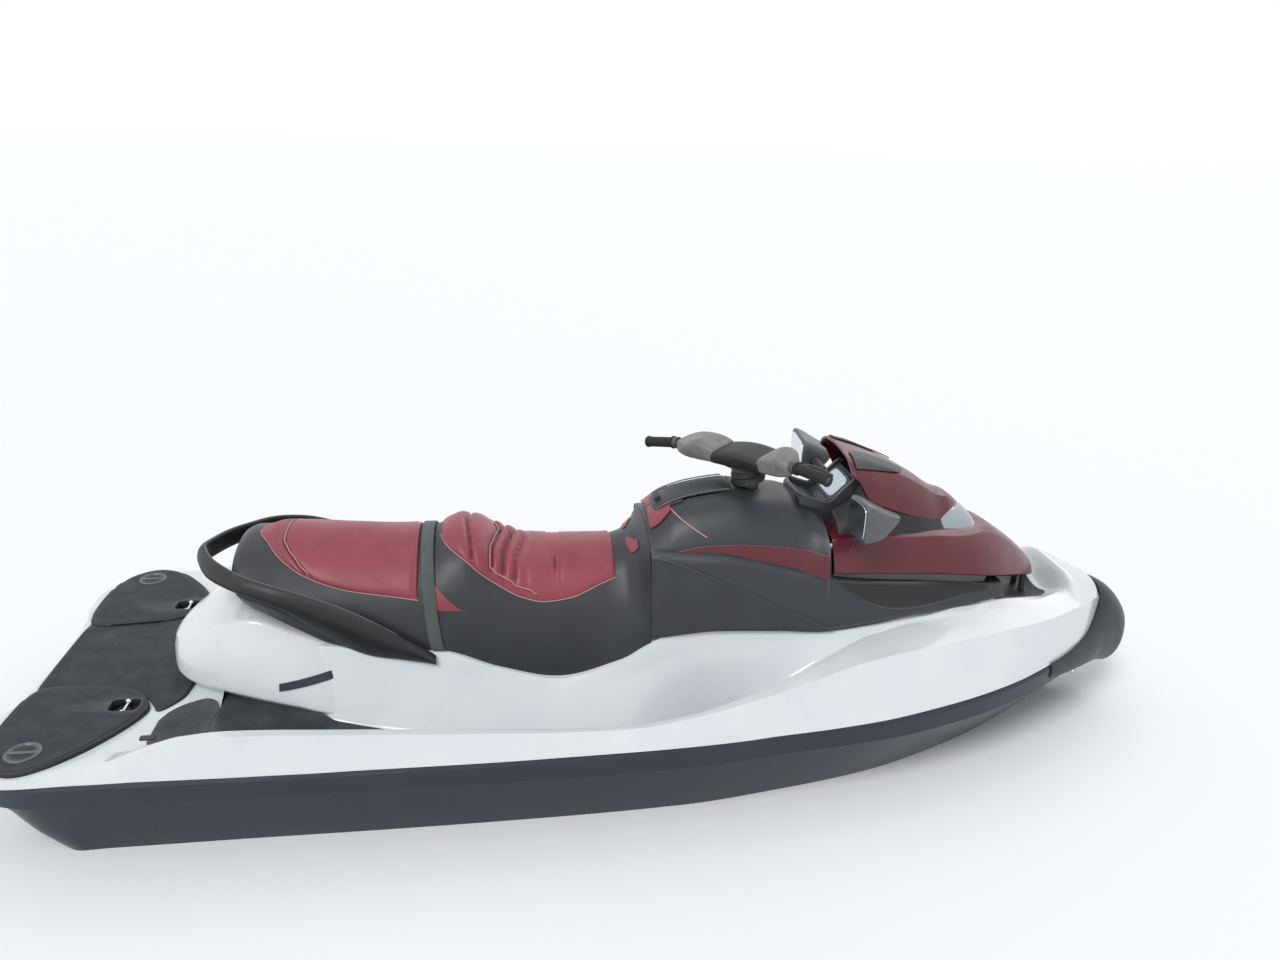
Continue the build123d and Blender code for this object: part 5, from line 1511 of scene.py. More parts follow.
@dataclass
class Seats:
    """Two saddle cushions of charcoal vinyl with sewn red panels, piping and the strap over their join."""

    rear_fold: float = -1040.0
    patch_end: float = -516.0
    bolster_end: float = -418.0
    strap_rise: float = 4.5
    strap_half: float = 18.0
    strap_foot: float = -597.0
    strap_sway: float = 34.0

    def rear(self) -> Cushion:
        """The passengers' cushion."""
        seam = [(-1122, 670), (-1104, 667), (-1084, 660), (-1060, 645), (-1020, 622), (-980, 602),
                (-930, 584), (-850, 563), (-700, 540), (-652, 532)]
        return Cushion("seat_rear_body", REAR_ROWS, SEAT_HOLD, seam)

    def front(self) -> Cushion:
        """The driver's cushion."""
        seam = [(-590, 664), (-575, 654), (-550, 643), (-520, 628), (-473, 590), (-410, 548), (-358, 520),
                (-280, 502), (-210, 508), (-121, 536), (-68, 552)]
        return Cushion("seat_front_body", FRONT_ROWS, SEAT_HOLD, seam)

    def rear_line(self, t: float) -> float:
        """Where the passengers' inner panel begins, by the place across it."""
        return self.rear_fold + 96 * max(0.0, (t - 0.45) / 0.55) ** 2

    def rear_relief(self, x: float, t: float) -> float:
        """Border roll round the back, and the inner panel."""
        at = x - self.rear_line(t)
        inner = 4.0 / (1 + math.exp(-at / 5))
        return groove(at, -3, 7, 9) + inner + swell(at, -34, 20, 5.0) + groove(x, -664, 6, 3)

    def front_lines(self, t: float) -> Pair:
        """Where the backrest patch and the bolster end, by the place across the seat."""
        return self.patch_end + 22 * t, self.bolster_end - 26 * min(1.0, 2 * t)

    def front_relief(self, x: float, t: float) -> float:
        """Backrest bolsters, ribs and the wrinkles of the driver's panel."""
        first, second = self.front_lines(t)
        reach = min(1.0, max(0.0, (0.92 - t) * 6))
        inner = x - second
        ribs = sum(groove(inner, *rib) for rib in ((2, 6, 14), (38, 5, 12), (75, 5, 9), (106, 9, 3)))
        humps = swell(inner, 20, 10, 7.0) + swell(inner, 57, 10, 7.0)
        wrinkle = groove(x, -264, 4, 6) + groove(x, -251, 4, 8) + groove(x, -236, 5, 6)
        wrinkle *= max(0.0, 1 - abs(t - 0.5) * 3.4)
        bolster = swell(x, (first + second) / 2, 26, 7.0)
        patch = groove(x, first, 6, 13) + swell(x, first - 34, 20, 5.0)
        return (ribs + humps) * reach + wrinkle + bolster + patch

    def build(self) -> None:
        """Make both cushions with their panels, piping and strap."""
        rear, front = self.rear(), self.front()
        rear.body("seat_rear", lambda x: max(375.0, 430 - (x + 1186) * 0.1))
        front.body("seat_front", lambda x: 262.0)
        rear.panel("seat_rear_panel", self.rear_relief)
        front.panel("seat_front_panel", self.front_relief)
        rear_fold = [rear.spot(self.rear_line(k / 24), k / 24, 3.0) for k in range(24)]
        _, second = self.front_lines(0.5)
        front_fold = [front.spot(self.front_lines(k / 20)[1], k / 20, 1.0) for k in range(17)]
        front_fold += [front.spot(second + 8 * k, 0.84 + 0.004 * k, 6.0) for k in range(18)]
        for cushion, name, fold in ((rear, "rear", rear_fold), (front, "front", front_fold)):
            seam = cushion.seam_path(1.0)
            beads = [seam, mirrored_path(seam), fold, mirrored_path(fold)]
            SWEEPER.sweep(f"seat_piping_{name}", beads, 1.8, PIPING, Body.CRAFT, sides=8)
        self.strap(rear.form())
        flashes = {"aft": [(-604, 506, 566), (-585, 502, 548), (-560, 500, 525), (-528, 498, 500)],
                   "fore": [(-26, 622, 630), (-16, 614, 636), (-6, 620, 640), (4, 632, 644)]}
        for side, name in SIDES:
            for part, corners in flashes.items():
                flank_patch(f"seat_flash_{part}_{name}", front.form(), side, corners, 1.6, 4, VINYL_RED)

    def strap(self, form: Form) -> None:
        """Webbing grab strap over the cushions' join."""
        half = resampled([p for p in form.outline(-620, 6) if p[1] > 392], 60)
        outline = whole(half)
        low, high = 0.8, self.strap_rise + 7.0
        edge = self.strap_half
        section = ((-edge, low), (-edge, high - 1.2), (2 - edge, high), (edge - 2, high), (edge, high - 1.2),
                   (edge, low))
        rings = []
        for k in range(81):
            t = k / 80
            y, z, along = heading(outline, round(t * (len(outline) - 1)))
            x = self.strap_foot - self.strap_sway * math.sin(math.pi * t) ** 0.7
            rings.append([(x + dx, y + along.y * rise, z - along.x * rise) for dx, rise in section])
        finished(ring_piece("seat_strap_webbing", rings, 40), WEBBING, Body.CRAFT, "seat_strap")


@dataclass
class Console:
    """Body between seat and hood, with the glove box and its lid, side panels and the gauge pod."""

    lid_half: float = 74.0
    hollow: tuple[float, float, float, float] = (84.0, 262.0, 62.0, 600.0)
    form: Form = field(default_factory=lambda: Form([
        (31, [(231, 408), (213, 498), (193, 606), (146, 664), (91, 692), (46, 706), (0, 711)]),
        (76, [(234, 413), (216, 510), (197, 628), (156, 690), (102, 726), (50, 739), (0, 742)]),
        (110, [(236, 416), (219, 520), (200, 640), (162, 708), (109, 745), (54, 756), (0, 759)]),
        (180, [(242, 417), (225, 520), (208, 642), (168, 724), (114, 765), (56, 777), (0, 780)]),
        (300, [(250, 418), (234, 520), (218, 642), (174, 734), (118, 782), (58, 791), (0, 793)]),
        (400, [(255, 415), (239, 510), (223, 618), (174, 720), (112, 771), (56, 781), (0, 784)]),
        (470, [(258, 412), (243, 500), (230, 604), (176, 712), (112, 763), (56, 776), (0, 779)]),
        (520, [(259, 412), (249, 498), (241, 598), (196, 692), (116, 745), (58, 760), (0, 764)]),
        (570, [(262, 412), (262, 506), (267, 596), (238, 674), (184, 712), (86, 738), (0, 743)]),
    ], [2, 1, 1, 1, 1, 1, 1]))
    panel_form: Form = field(default_factory=lambda: Form([
        (31, [(264, 402), (250, 478), (232, 556), (213, 634), (200, 654), (120, 656), (0, 657)]),
        (240, [(280, 428), (266, 500), (252, 570), (238, 640), (224, 650), (120, 652), (0, 653)]),
        (420, [(286, 424), (274, 480), (262, 540), (248, 604), (234, 612), (120, 614), (0, 615)]),
        (540, [(287, 416), (276, 466), (264, 520), (252, 578), (238, 587), (120, 589), (0, 590)]),
        (700, [(287, 436), (277, 474), (264, 516), (250, 560), (236, 568), (120, 570), (0, 571)]),
        (860, [(283, 460), (274, 486), (262, 514), (246, 548), (232, 555), (120, 557), (0, 558)]),
        (1020, [(252, 468), (245, 484), (234, 504), (218, 528), (206, 534), (110, 536), (0, 537)]),
        (1170, [(214, 476), (209, 484), (200, 494), (190, 508), (180, 511), (90, 512), (0, 512)]),
    ], [2, 1, 1, 2, 2, 1, 1]))

    def build(self) -> None:
        """Make the console, its side panels, lid and details."""
        body = lofted("console_moulding", self.form, spread(31, 570, 10), 8, angle=45)
        x0, x1, half, floor = self.hollow
        cut(body, block((x0, -half, floor), (x1, half, floor + 400), 8))
        finished(smoothed(body, 40), CHARCOAL, Body.CRAFT, "console")
        self.lid()
        self.panels()
        self.gauges()

    def lid(self) -> None:
        """Make the glove box lid with its latch and the barrel of its hinge."""
        rings = []
        for x in spread(50, 300, 8):
            half = self.form.outline(x)
            ease = rounded_end(x, 50, 300, 18, 10)
            run = [p for p in reversed(half) if p[0] <= self.lid_half]
            even = resampled(run, 16)
            top = [(y, z + 2 + (10 - 6 * (y / self.lid_half) ** 4) * (0.3 + 0.7 * ease)) for y, z in even]
            under = [(y * 0.985, z + 1.0) for y, z in even]
            rings.append(both_sides(x, under + list(reversed(top))))
        finished(ring_piece("glovebox_lid_moulding", rings, 45), CHARCOAL, Body.LID, "glovebox_lid")
        out = self.lid_half - 9
        rim = [(x, out, self.height(x, out) + 12.2) for x in spread(66, 286, 8)]
        SWEEPER.sweep("glovebox_lid_ribs", [rim, mirrored_path(rim)], 2.2, GREY, Body.LID, sides=8)
        latch = block((62, -20, 747), (80, 20, 764), 4)
        latch.name = "glovebox_latch"
        finished(latch, BLACK, Body.LID)
        barrel = [(304, y, 796) for y in (-46, 46)]
        SWEEPER.sweep("glovebox_hinge_barrel", [barrel], 4.8, BLACK, Body.LID)

    def height(self, x: float, y: float) -> float:
        """Height of the console's surface."""
        half = self.form.outline(x)
        for (y0, z0), (y1, z1) in zip(half, half[1:]):
            if y1 <= abs(y) <= y0 and y0 != y1:
                return z0 + (z1 - z0) * (abs(y) - y0) / (y1 - y0)
        return half[-1][1]

    def panels(self) -> None:
        """Make the grey side panels, the maroon bands over them, the seams, and a black strip of painted
        shade under the hood's edge.
        """
        band = [(60, 612, 624), (120, 616, 652), (200, 624, 668), (300, 622, 672), (400, 606, 664),
                (480, 590, 654), (566, 578, 644)]
        corner = [(40, 690, 715), (60, 704, 738), (84, 726, 752), (104, 745, 761)]
        # x, low and high edge of a black strip that paints the shade under the hood's edge
        shade = [(600, 560, 568), (640, 530, 562), (690, 500, 560), (740, 482, 558), (800, 476, 554),
                 (900, 484, 548), (1020, 496, 530), (1120, 500, 512)]
        base = [(32, 404, 642), (80, 408, 634), (120, 412, 622), (240, 426, 576), (360, 424, 521),
                (480, 416, 466), (560, 414, 430), (590, 416, 419)]
        band_edge = [(x, read(band, x, 2)) for x in spread(60, 566, 12)]
        piping = [(104 + 6.4 * k, 746 - 3.6 * k) for k in range(16)]
        base_edge = [(x, read(base, x, 2)) for x in spread(34, 588, 12)]
        # piece, form, table, height over the form, spacing of rows or radius, finish
        dressing = (("console_band", self.form, band, 3.0, 8.0, MAROON),
                    ("console_band_edge", self.form, band_edge, 3, 1.8, GREY),
                    ("console_corner", self.form, corner, 3.2, 3, VINYL_RED),
                    ("console_piping", self.form, piping, 2, 2.4, PIPING),
                    # black strip of painted shade under the hood's edge
                    ("painted_shade_under_hood", self.panel_form, shade, 1.6, 6, BLACK),
                    ("seat_base", self.panel_form, base, 1.6, 6, VINYL_GREY),
                    ("seat_base_seam", self.panel_form, base_edge, 2, 3.6, BLACK))
        for side, name in SIDES:
            finished(self.side_shell(name, side), CHARCOAL, Body.CRAFT, f"side_panel_{name}")
            # a table of three columns is a patch between two lines, and one of two columns is a bead
            for part, form, table, rise, size, finish in dressing:
                if len(table[0]) == 3:
                    flank_patch(f"{part}_{name}", form, side, table, rise, size, finish)
                else:
                    flank_bead(f"{part}_{name}", form, side, table, rise, size, finish)

    def side_shell(self, name: str, side: int) -> Piece:
        """Make one side panel as a shell that follows the console and runs on under the hood."""
        rows = []
        for x in spread(31, 1170, 12):
            half = [p for p in self.panel_form.outline(x) if p[0] > 150 or x > 1000]
            half = resampled([p for p in half if p[0] > 0.6 * half[0][0]], 18)
            rows.append([(x, side * y, z) for y, z in half])
        flat = [p for row in rows for p in row]
        faces = grid_faces(len(rows), len(rows[0]))
        if side < 0:
            faces = [tuple(reversed(f)) for f in faces]
        return smoothed(thickened(faced(f"side_panel_shell_{name}", flat, faces), 6.0), 45)

    def gauges(self) -> None:
        """Make the gauge pod, a scoop that reaches under the hood's rear edge, with its screen."""
        outside = [(500, 752), (532, 716), (566, 664), (600, 636), (690, 632), (701, 650), (704, 720),
                   (700, 828), (684, 838), (606, 760), (566, 766), (510, 786)]
        hollow = [(480, 900), (506, 778), (552, 752), (590, 740), (612, 752), (684, 829), (690, 900)]
        pod = prism(closed_spline(outside, 4), 90)
        pod.name = "gauge_pod_moulding"
        cut(pod, prism(hollow, 83))
        finished(smoothed(pod, 40), CHARCOAL, Body.CRAFT, "gauge_pod")
        lip = [(697, 832), (684, 838), (645, 799), (606, 761), (566, 766), (516, 785)]
        sides = eased([(x, 87, z) for x, z in lip], 5)
        front = eased([(516, 87, 785), (508, 60, 783), (506, 0, 782), (508, -60, 783), (516, -87, 785)], 5)
        rim = sides + front[1:-1] + [(x, -y, z) for x, y, z in reversed(sides)]
        SWEEPER.sweep("gauge_pod_rim", [rim], 4.5, GREY, Body.CRAFT, sides=10)
        middle = Vector((644, 0, 790))
        face, across, port = Vector((-0.725, 0, 0.688)), Vector((0.688, 0, 0.725)), Vector((0, 1, 0))
        for name, wide, tall, rise, finish, nodes in (
                ("gauge_bezel", 150, 98, 3.0, BLACK, ()),
                ("gauge_screen_panel", 124, 80, 5.0, SCREEN, ("gauge_glass",))):
            rings = []
            for grow, level in ((-2, -4), (0, -2), (0, rise - 1.5), (-1.5, rise)):
                rings.append([tuple(middle + across * ((tall / 2 + grow) * v) + port * ((wide / 2 + grow) * u)
                                    + face * level) for u, v in rounded_square(40)])
            finished(ring_piece(name, rings, 40), finish, Body.CRAFT, *nodes)


@dataclass
class Bars:
    """Handlebar with its pad, arm covers, grips, levers and the boot on the column."""

    foot: Point = (364.0, 0.0, 800.0)
    rake: float = 12.0
    turn: float = 34.0

    def at(self, ahead: float, port: float, up: float) -> Point:
        """Point of the turned frame of the bars, in the craft's frame."""
        tilt, swing = math.radians(self.rake), math.radians(self.turn)
        axis = Vector((-math.sin(tilt), 0, math.cos(tilt)))
        level = Vector((math.cos(tilt), 0, math.sin(tilt)))
        front = level * math.cos(swing) + Vector((0, math.sin(swing), 0))
        return tuple(Vector(self.foot) + front * ahead + axis.cross(front) * port + axis * up)

    def ring(self, v: float, low: Pair, high: Pair) -> list[Point]:
        """Rounded section across the bars at v, from a low to a high corner (ahead, up)."""
        return [self.at((low[0] + high[0]) / 2 + (high[0] - low[0]) / 2 * across,
                        v, (low[1] + high[1]) / 2 + (high[1] - low[1]) / 2 * up)
                for across, up in rounded_square(32)]

    def build(self) -> None:
        """Make every part that turns with the bars."""
        route = [(-64, 380, 100), (-52, 255, 112), (-38, 180, 110), (-6, 84, 52), (0, 40, 46)]
        path = eased([self.at(*p) for p in route] + [self.at(u, -v, a) for u, v, a in reversed(route)], 8)
        SWEEPER.sweep("handlebar_tube", [path], 10.8, BLACK, Body.STEERING, "handlebar", sides=16)
        hub = [(33, 0.5), (34, 3), (34, 20), (31, 26), (31, 58), (27, 61)]
        boot = [(40, 3), (54, 6), (55, 12), (50, 26), (52, 32), (47, 44), (48, 50), (42, 60)]
        axis = tuple(Vector(self.at(0, 0, 1)) - Vector(self.foot))
        for name, profile in (("steering_hub", hub), ("steering_boot", boot)):
            turned(name, self.foot, axis, profile, BLACK, Body.STEERING)
        self.pad()
        for side, name in SIDES:
            self.arm(side, name)
            self.grip(side, name)
            self.lever(side, name)

    def pad(self) -> None:
        """Make the soft pad over the middle of the bars."""
        end, edge, flank = (-112, -44, 50, 66, 92), (-104, -52, 58, 62, 100), (-60, -54, 64, 60.5, 108)
        half = [end, edge, flank]
        rows = half + [(0, -54, 66, 60.5, 112)] + [(-v, *rest) for v, *rest in reversed(half)]
        self.cover("steering_pad", rows, 36, BLACK, "bar_cover")

    def arm(self, side: int, name: str) -> None:
        """Make the cover over one arm, which humps over the bend of the tube."""
        rows = [(92, -46, 52, 66, 104), (100, -52, 56, 63, 112), (130, -58, 50, 64, 126),
                (165, -66, 38, 68, 135), (200, -72, 22, 74, 136), (226, -70, -4, 82, 130),
                (240, -64, -24, 90, 120)]
        self.cover(f"arm_cover_{name}", [(side * v, *rest) for v, *rest in rows], 30, ARM_COVER)

    def cover(self, name: str, rows: Sequence[Sequence[float]], count: int, finish: Finish,
              *nodes: str) -> None:
        """Make a cover from rows of its place across the bars, rear, front, foot and top."""
        loops = [self.ring(v, (u0, a0), (u1, a1)) for v, u0, u1, a0, a1 in eased_rings(rows, count)]
        finished(ring_piece(name, loops, 45), finish, Body.STEERING, *nodes)

    def grip(self, side: int, name: str) -> None:
        """Make one handgrip with its flanges and end plug."""
        inner, outer = Vector(self.at(-52, side * 255, 112)), Vector(self.at(-64, side * 380, 100))
        length = (outer - inner).length
        ribs = [(17.5, 4), (21, 6), (21, 9), (17, 11)]
        for k in range(9):
            base = 14 + k * (length - 24) / 9
            ribs += [(16.2, base), (17, base + 1.5), (17, base + 7), (16.2, base + 8.5)]
        ribs += [(17, length - 8), (19, length - 6), (19, length - 2), (15, length)]
        turned(f"handgrip_{name}", tuple(inner), tuple(outer - inner), ribs, GRIP, Body.STEERING,
               *paired(side, "grips"), sides=28)

    def lever(self, side: int, name: str) -> None:
        """Make one lever with its clamp."""
        inner, outer = Vector(self.at(-51, side * 238, 113)), Vector(self.at(-54, side * 258, 111))
        clamp = [(13, 0), (19, 1.5), (19, 18.5), (13, 20)]
        turned(f"lever_clamp_{name}", tuple(inner), tuple(outer - inner), clamp, BLACK, Body.STEERING,
               *paired(side, "levers"))
        path = eased([self.at(-40, side * 250, 108), self.at(-14, side * 256, 104),
                      self.at(-4, side * 276, 100), self.at(-10, side * 320, 96),
                      self.at(-18, side * 354, 92)], 5)
        SWEEPER.sweep(f"lever_blade_{name}", [path], 5.5, BLACK, Body.STEERING)


@dataclass
class Hood:
    """Front hood: lower nose moulding, black core, upper cover, lens, vents and mirrors."""

    lower: Form = field(default_factory=lambda: Form([
        (577, [(264, 598), (273, 605), (267, 616), (248, 656), (222, 693), (196, 700), (0, 700)]),
        (700, [(264, 594), (273, 601), (267, 611), (247, 650), (215, 688), (190, 696), (0, 697)]),
        (900, [(258, 583), (266, 591), (260, 601), (237, 642), (199, 683), (174, 690), (0, 691)]),
        (1040, [(236, 563), (244, 571), (238, 581), (207, 628), (160, 664), (132, 673), (0, 676)]),
        (1100, [(218, 550), (226, 558), (220, 568), (184, 618), (128, 658), (98, 667), (0, 670)]),
        (1160, [(190, 534), (198, 542), (192, 552), (155, 602), (98, 642), (68, 651), (0, 656)]),
        (1230, [(146, 511), (154, 519), (148, 529), (119, 570), (74, 602), (50, 611), (0, 616)]),
        (1300, [(96, 487), (103, 495), (98, 504), (80, 530), (52, 552), (32, 559), (0, 564)]),
        (1345, [(56, 467), (62, 475), (58, 484), (47, 500), (31, 512), (18, 518), (0, 522)]),
        (1370, [(20, 450), (25, 458), (22, 466), (17, 476), (12, 482), (7, 486), (0, 488)]),
    ], [2, 2, 2, 1, 2, 2, 1]))
    upper: Form = field(default_factory=lambda: Form([
        (640, [(148, 868), (156, 872), (150, 886), (134, 901), (104, 914), (52, 921), (0, 924)]),
        (662, [(160, 852), (169, 856), (162, 874), (142, 893), (108, 908), (54, 916), (0, 919)]),
        (700, [(165, 792), (174, 797), (169, 836), (145, 876), (106, 898), (53, 906), (0, 909)]),
        (760, [(162, 764), (170, 769), (163, 806), (139, 846), (100, 875), (50, 885), (0, 888)]),
        (827, [(154, 740), (162, 745), (153, 780), (129, 818), (92, 848), (46, 857), (0, 860)]),
        (900, [(134, 716), (142, 721), (132, 748), (110, 782), (80, 808), (40, 818), (0, 821)]),
        (978, [(100, 692), (107, 696), (99, 718), (82, 743), (58, 762), (30, 770), (0, 773)]),
        (1010, [(78, 712), (84, 717), (79, 728), (67, 742), (48, 754), (25, 761), (0, 763)]),
        (1036, [(52, 716), (58, 720), (54, 728), (44, 736), (31, 742), (16, 746), (0, 747)]),
        (1064, [(22, 706), (26, 710), (23, 714), (18, 718), (12, 721), (6, 723), (0, 724)]),
    ], [2, 2, 1, 1, 2, 1, 1]))
    core_form: Form = field(default_factory=lambda: Form([
        (606, [(214, 674), (206, 688), (190, 706), (166, 726), (122, 736), (60, 742), (0, 744)]),
        (660, [(210, 674), (202, 692), (184, 726), (162, 756), (122, 774), (60, 784), (0, 788)]),
        (705, [(208, 674), (198, 698), (174, 752), (156, 796), (116, 838), (60, 862), (0, 868)]),
        (860, [(196, 674), (186, 690), (160, 722), (136, 762), (92, 800), (48, 822), (0, 828)]),
        (968, [(166, 674), (154, 682), (116, 698), (90, 716), (58, 740), (30, 752), (0, 756)]),
    ], [2, 1, 2, 1, 1, 1, 1]))
    lens_form: Form = field(default_factory=lambda: Form([
        (970, [(152, 668), (134, 684), (108, 704), (60, 722), (0, 726)]),
        (1010, [(142, 664), (124, 690), (96, 718), (50, 734), (0, 738)]),
        (1050, [(128, 658), (110, 682), (84, 708), (42, 722), (0, 726)]),
        (1085, [(114, 652), (100, 670), (72, 694), (36, 706), (0, 709)]),
        (1106, [(102, 646), (86, 660), (60, 676), (28, 684), (0, 686)]),
    ], [2, 2, 1, 1, 1]))

    def build(self) -> None:
        """Make every piece that lifts with the hood."""
        places = spread(577, 1340, 9) + spread(1344, 1370, 4)
        nose = cut(skin_piece("hood_nose_moulding", self.lower.skin(places), 6.0, 40), self.pocket())
        finished(smoothed(nose, 40), MAROON, Body.HOOD, "hood_nose")
        places = spread(640, 700, 5) + spread(709, 1064, 8)
        cover = skin_piece("hood_cover_moulding", self.upper.skin(places), 7.0, 40)
        finished(cover, MAROON, Body.HOOD, "hood_cover")
        core, lens = (lofted(f"hood_{name}_moulding", form, spread(form.keys[0], form.keys[-1], 10), 3)
                      for name, form in (("core", self.core_form), ("lens", self.lens_form)))
        finished(smoothed(cut(core, self.pocket()), 40), BLACK, Body.HOOD, "hood_core")
        finished(lens, SMOKED, Body.HOOD, "hood_lens")
        vent = [(656, 888, 915), (690, 882, 908), (740, 871, 892), (800, 857, 868), (838, 848, 851)]
        seam = [(596 + 5 * k, 612 + 7.0 * k) for k in range(12)]
        for side, name in SIDES:
            flank_patch(f"hood_vent_{name}", self.upper, side, vent, 2.6, 4, CHARCOAL, Body.HOOD)
            flank_bead(f"hood_seam_{name}", self.lower, side, seam, 0.3, 1.2, BLACK, Body.HOOD, 6)
            finished(self.skirt(side, name), BLACK, Body.HOOD)
            self.mirror(side, name)

    @staticmethod
    def pocket() -> Piece:
        """Cutter of the pocket that the gauge pod reaches into."""
        return block((560, -106, 560), (722, 106, 960), 6)

    def skirt(self, side: int, name: str) -> Piece:
        """Make the lip that hangs from the hood's edge down to the side panel."""
        foot = [(584, 582), (650, 573), (760, 564), (900, 554), (1020, 535), (1100, 524)]
        rings = []
        for x in spread(foot[0][0], foot[-1][0], 12):
            y, z = self.lower.section(x)[0]
            low = read(foot, x)
            corners = ((y - 1, z + 9), (y - 5, z + 9), (y - 22, low), (y - 18, low))
            rings.append([(x, side * across, level) for across, level in corners])
        return ring_piece(f"hood_skirt_{name}", rings, 30)

    def mirror(self, side: int, name: str) -> None:
        """Make one mirror with its stalk and glass."""
        rows = [
            # x, centre y, centre z, half width, half height
            (612, 306, 795, 70, 56), (619, 306, 794, 75, 62), (640, 306, 790, 72, 59),
            (676, 304, 783, 60, 46),
            (706, 302, 787, 46, 27), (728, 301, 794, 32, 11), (738, 300, 797, 20, 4)]
        square = rounded_square(36)
        shell = [[(x, side * (y + wide * u), z + tall * v + 14 * u * wide / 75 * 0.5) for u, v in square]
                 for x, y, z, wide, tall in eased_rings(rows, 36)]
        finished(ring_piece(f"mirror_housing_{name}", shell, 45), GREY, Body.HOOD,
                 *paired(side, "mirror_housings"))
        glass = [[(x, side * (306 + (75 + grow) * u), 794 + (60 + grow) * v + 6.5 * u) for u, v in square]
                 for x, grow in ((610.5, -12), (610.0, -9), (614.0, -8))]
        finished(ring_piece(f"mirror_silver_{name}", glass, 45), SILVERED, Body.HOOD,
                 *paired(side, "mirror_glass"))
        stalk = eased([(648, side * 262, 788), (656, side * 220, 778), (664, side * 150, 772)], 6)
        SWEEPER.sweep(f"mirror_stalk_{name}", [stalk], 15, BLACK, Body.HOOD, sides=16)


@dataclass
class Fittings:
    """Finishes on the CAD nodes that stay, with the bolts of the pump's flange."""

    finishes: dict[str, Finish] = field(default_factory=lambda: {
        "sponsons": BLACK, "ride_plate": ALLOY, "intake_grate": STEEL, "pump_housing": ALLOY,
        "impeller": STEEL, "drive_shaft": STEEL, "engine": CASTING, "nozzle": ALLOY, "reverse_gate": BLACK,
        "mooring_bars": STEEL, "steering_column": BLACK, "storage_bin": BLACK, "hood_hinge": BLACK,
        "bow_eye": STEEL, "stern_eyes": STEEL, "drain_plugs": STEEL, "fuel_cap": BLACK,
        "boarding_step": STEEL})

    def build(self) -> None:
        """Paint the CAD nodes and set their bolts."""
        for name, finish in self.finishes.items():
            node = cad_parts[name]
            slots = node.material_slots
            if not slots:
                node.data.materials.append(finish.material())
            for slot in slots:
                slot.material = finish.material()
        x, middle, radius, count = -1201, -100, 88, 8
        turns = [2 * math.pi * k / count + 0.2 for k in range(count)]
        bolts = [((x, radius * math.cos(t), middle + radius * math.sin(t)), (-1, 0, 0)) for t in turns]
        SWEEPER.heads("pump_flange_bolts", bolts, 5, 4, STEEL)


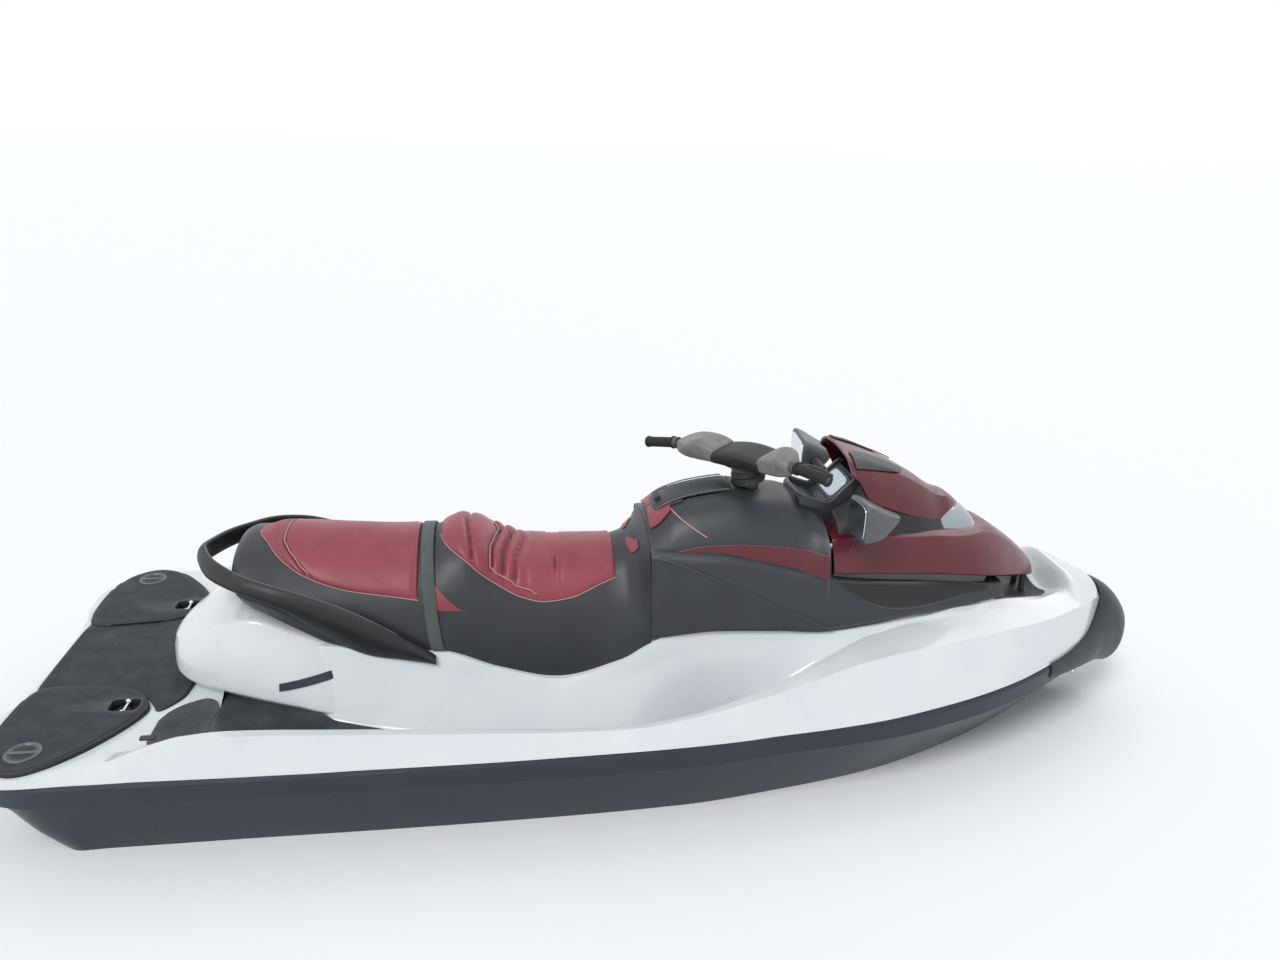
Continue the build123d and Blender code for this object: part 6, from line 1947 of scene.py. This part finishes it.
@dataclass
class Studio:
    """Camera matched to the photograph, soft light, white backdrop and the floor on the waterline."""

    place: Point = (-0.3855, -2.7571, 1.8607)
    heading: Pair = (0.1450, 0.9894)
    pitch: float = 20.65
    roll: float = 1.92
    lens: float = 27.0
    floor_half: float = 60.0

    def build(self) -> None:
        """Set the camera, the lights, the world and the floor."""
        self.camera()
        self.light("key", (-3.0, -4.0, 6.5), 25.0, 1.5)
        self.light("rim", (4.0, 5.0, 5.0), 40.0, 0.45)
        self.world()
        self.floor()
        bpy.context.scene.view_settings.view_transform = "Standard"

    def camera(self) -> None:
        """Stand the camera where the photographer stood."""
        level, up = Vector((*self.heading, 0)), Vector((0, 0, 1))
        tip, lean = math.radians(self.pitch), math.radians(self.roll)
        ahead = level * math.cos(tip) - up * math.sin(tip)
        right = Vector((level.y, -level.x, 0))
        top = level * math.sin(tip) + up * math.cos(tip)
        across = right * math.cos(lean) + top * math.sin(lean)
        rise = -right * math.sin(lean) + top * math.cos(lean)
        data = bpy.data.cameras.new("photo_camera")
        data.lens = self.lens
        data.sensor_width = 36.0
        made = bpy.data.objects.new("photo_camera", data)
        bpy.context.scene.collection.objects.link(made)
        made.matrix_world = (Matrix.Translation(self.place)
                             @ Matrix((across, rise, -ahead)).transposed().to_4x4())
        bpy.context.scene.camera = made

    @staticmethod
    def light(name: str, place: Point, spread_angle: float, strength: float) -> None:
        """Hang a large soft lamp that looks at the craft from far off.

        Args:
            name: the lamp's name.
            place: the way that it comes from.
            spread_angle: its width in degrees, which softens the shadows.
            strength: its strength.
        """
        data = bpy.data.lights.new(name, "SUN")
        data.angle = math.radians(spread_angle)
        data.energy = strength
        made = bpy.data.objects.new(name, data)
        bpy.context.scene.collection.objects.link(made)
        made.location = place
        made.rotation_euler = (-Vector(place)).to_track_quat("-Z", "Y").to_euler()

    @staticmethod
    def world() -> None:
        """White backdrop for the camera and reflections, and an even grey sky for the light."""
        world = bpy.data.worlds.new("studio")
        world.use_nodes = True
        tree = world.node_tree
        tree.nodes.clear()
        path = add_node(tree, "ShaderNodeLightPath")
        seen = add_node(tree, "ShaderNodeMath", {"operation": "MAXIMUM"},
                        {0: path.outputs["Is Camera Ray"], 1: path.outputs["Is Glossy Ray"]})
        shown = add_node(tree, "ShaderNodeMath", {"operation": "MAXIMUM"},
                         {0: seen.outputs[0], 1: path.outputs["Is Transmission Ray"]})
        sky = add_node(tree, "ShaderNodeBackground", {"Color": (0.94, 0.97, 1.0, 1.0), "Strength": 0.62})
        white = add_node(tree, "ShaderNodeBackground", {"Color": (1.0, 1.0, 1.0, 1.0), "Strength": 1.0})
        mixed = add_node(tree, "ShaderNodeMixShader", links={0: shown.outputs[0], 1: sky.outputs[0],
                                                             2: white.outputs[0]})
        add_node(tree, "ShaderNodeOutputWorld", links={"Surface": mixed.outputs[0]})
        bpy.context.scene.world = world

    def floor(self) -> None:
        """Lay a white floor at the waterline that keeps the shadow."""
        half = self.floor_half / MM
        made = faced("floor", [(-half, -half, 0), (half, -half, 0), (half, half, 0), (-half, half, 0)],
                     [(0, 1, 2, 3)])
        paper = bpy.data.materials.new("floor_paper")
        paper.use_nodes = True
        shader = paper.node_tree.nodes["Principled BSDF"]
        shader.inputs["Base Color"].default_value = linear("F4F5F6")
        shader.inputs["Roughness"].default_value = 0.9
        made.data.materials.append(paper)


def main() -> None:
    """Build every sub-assembly in order."""
    logging.basicConfig(level=logging.INFO, format="%(name)s: %(message)s")
    deck = Deck()
    deck.build()
    hull = Hull()
    hull.build()
    hull.bumper()
    Platform().build()
    FootwellMats(deck).build()
    GrabRail().build()
    Seats().build()
    Console().build()
    Bars().build()
    Hood().build()
    Fittings().build()
    Studio().build()


if __name__ == "__main__":
    main()
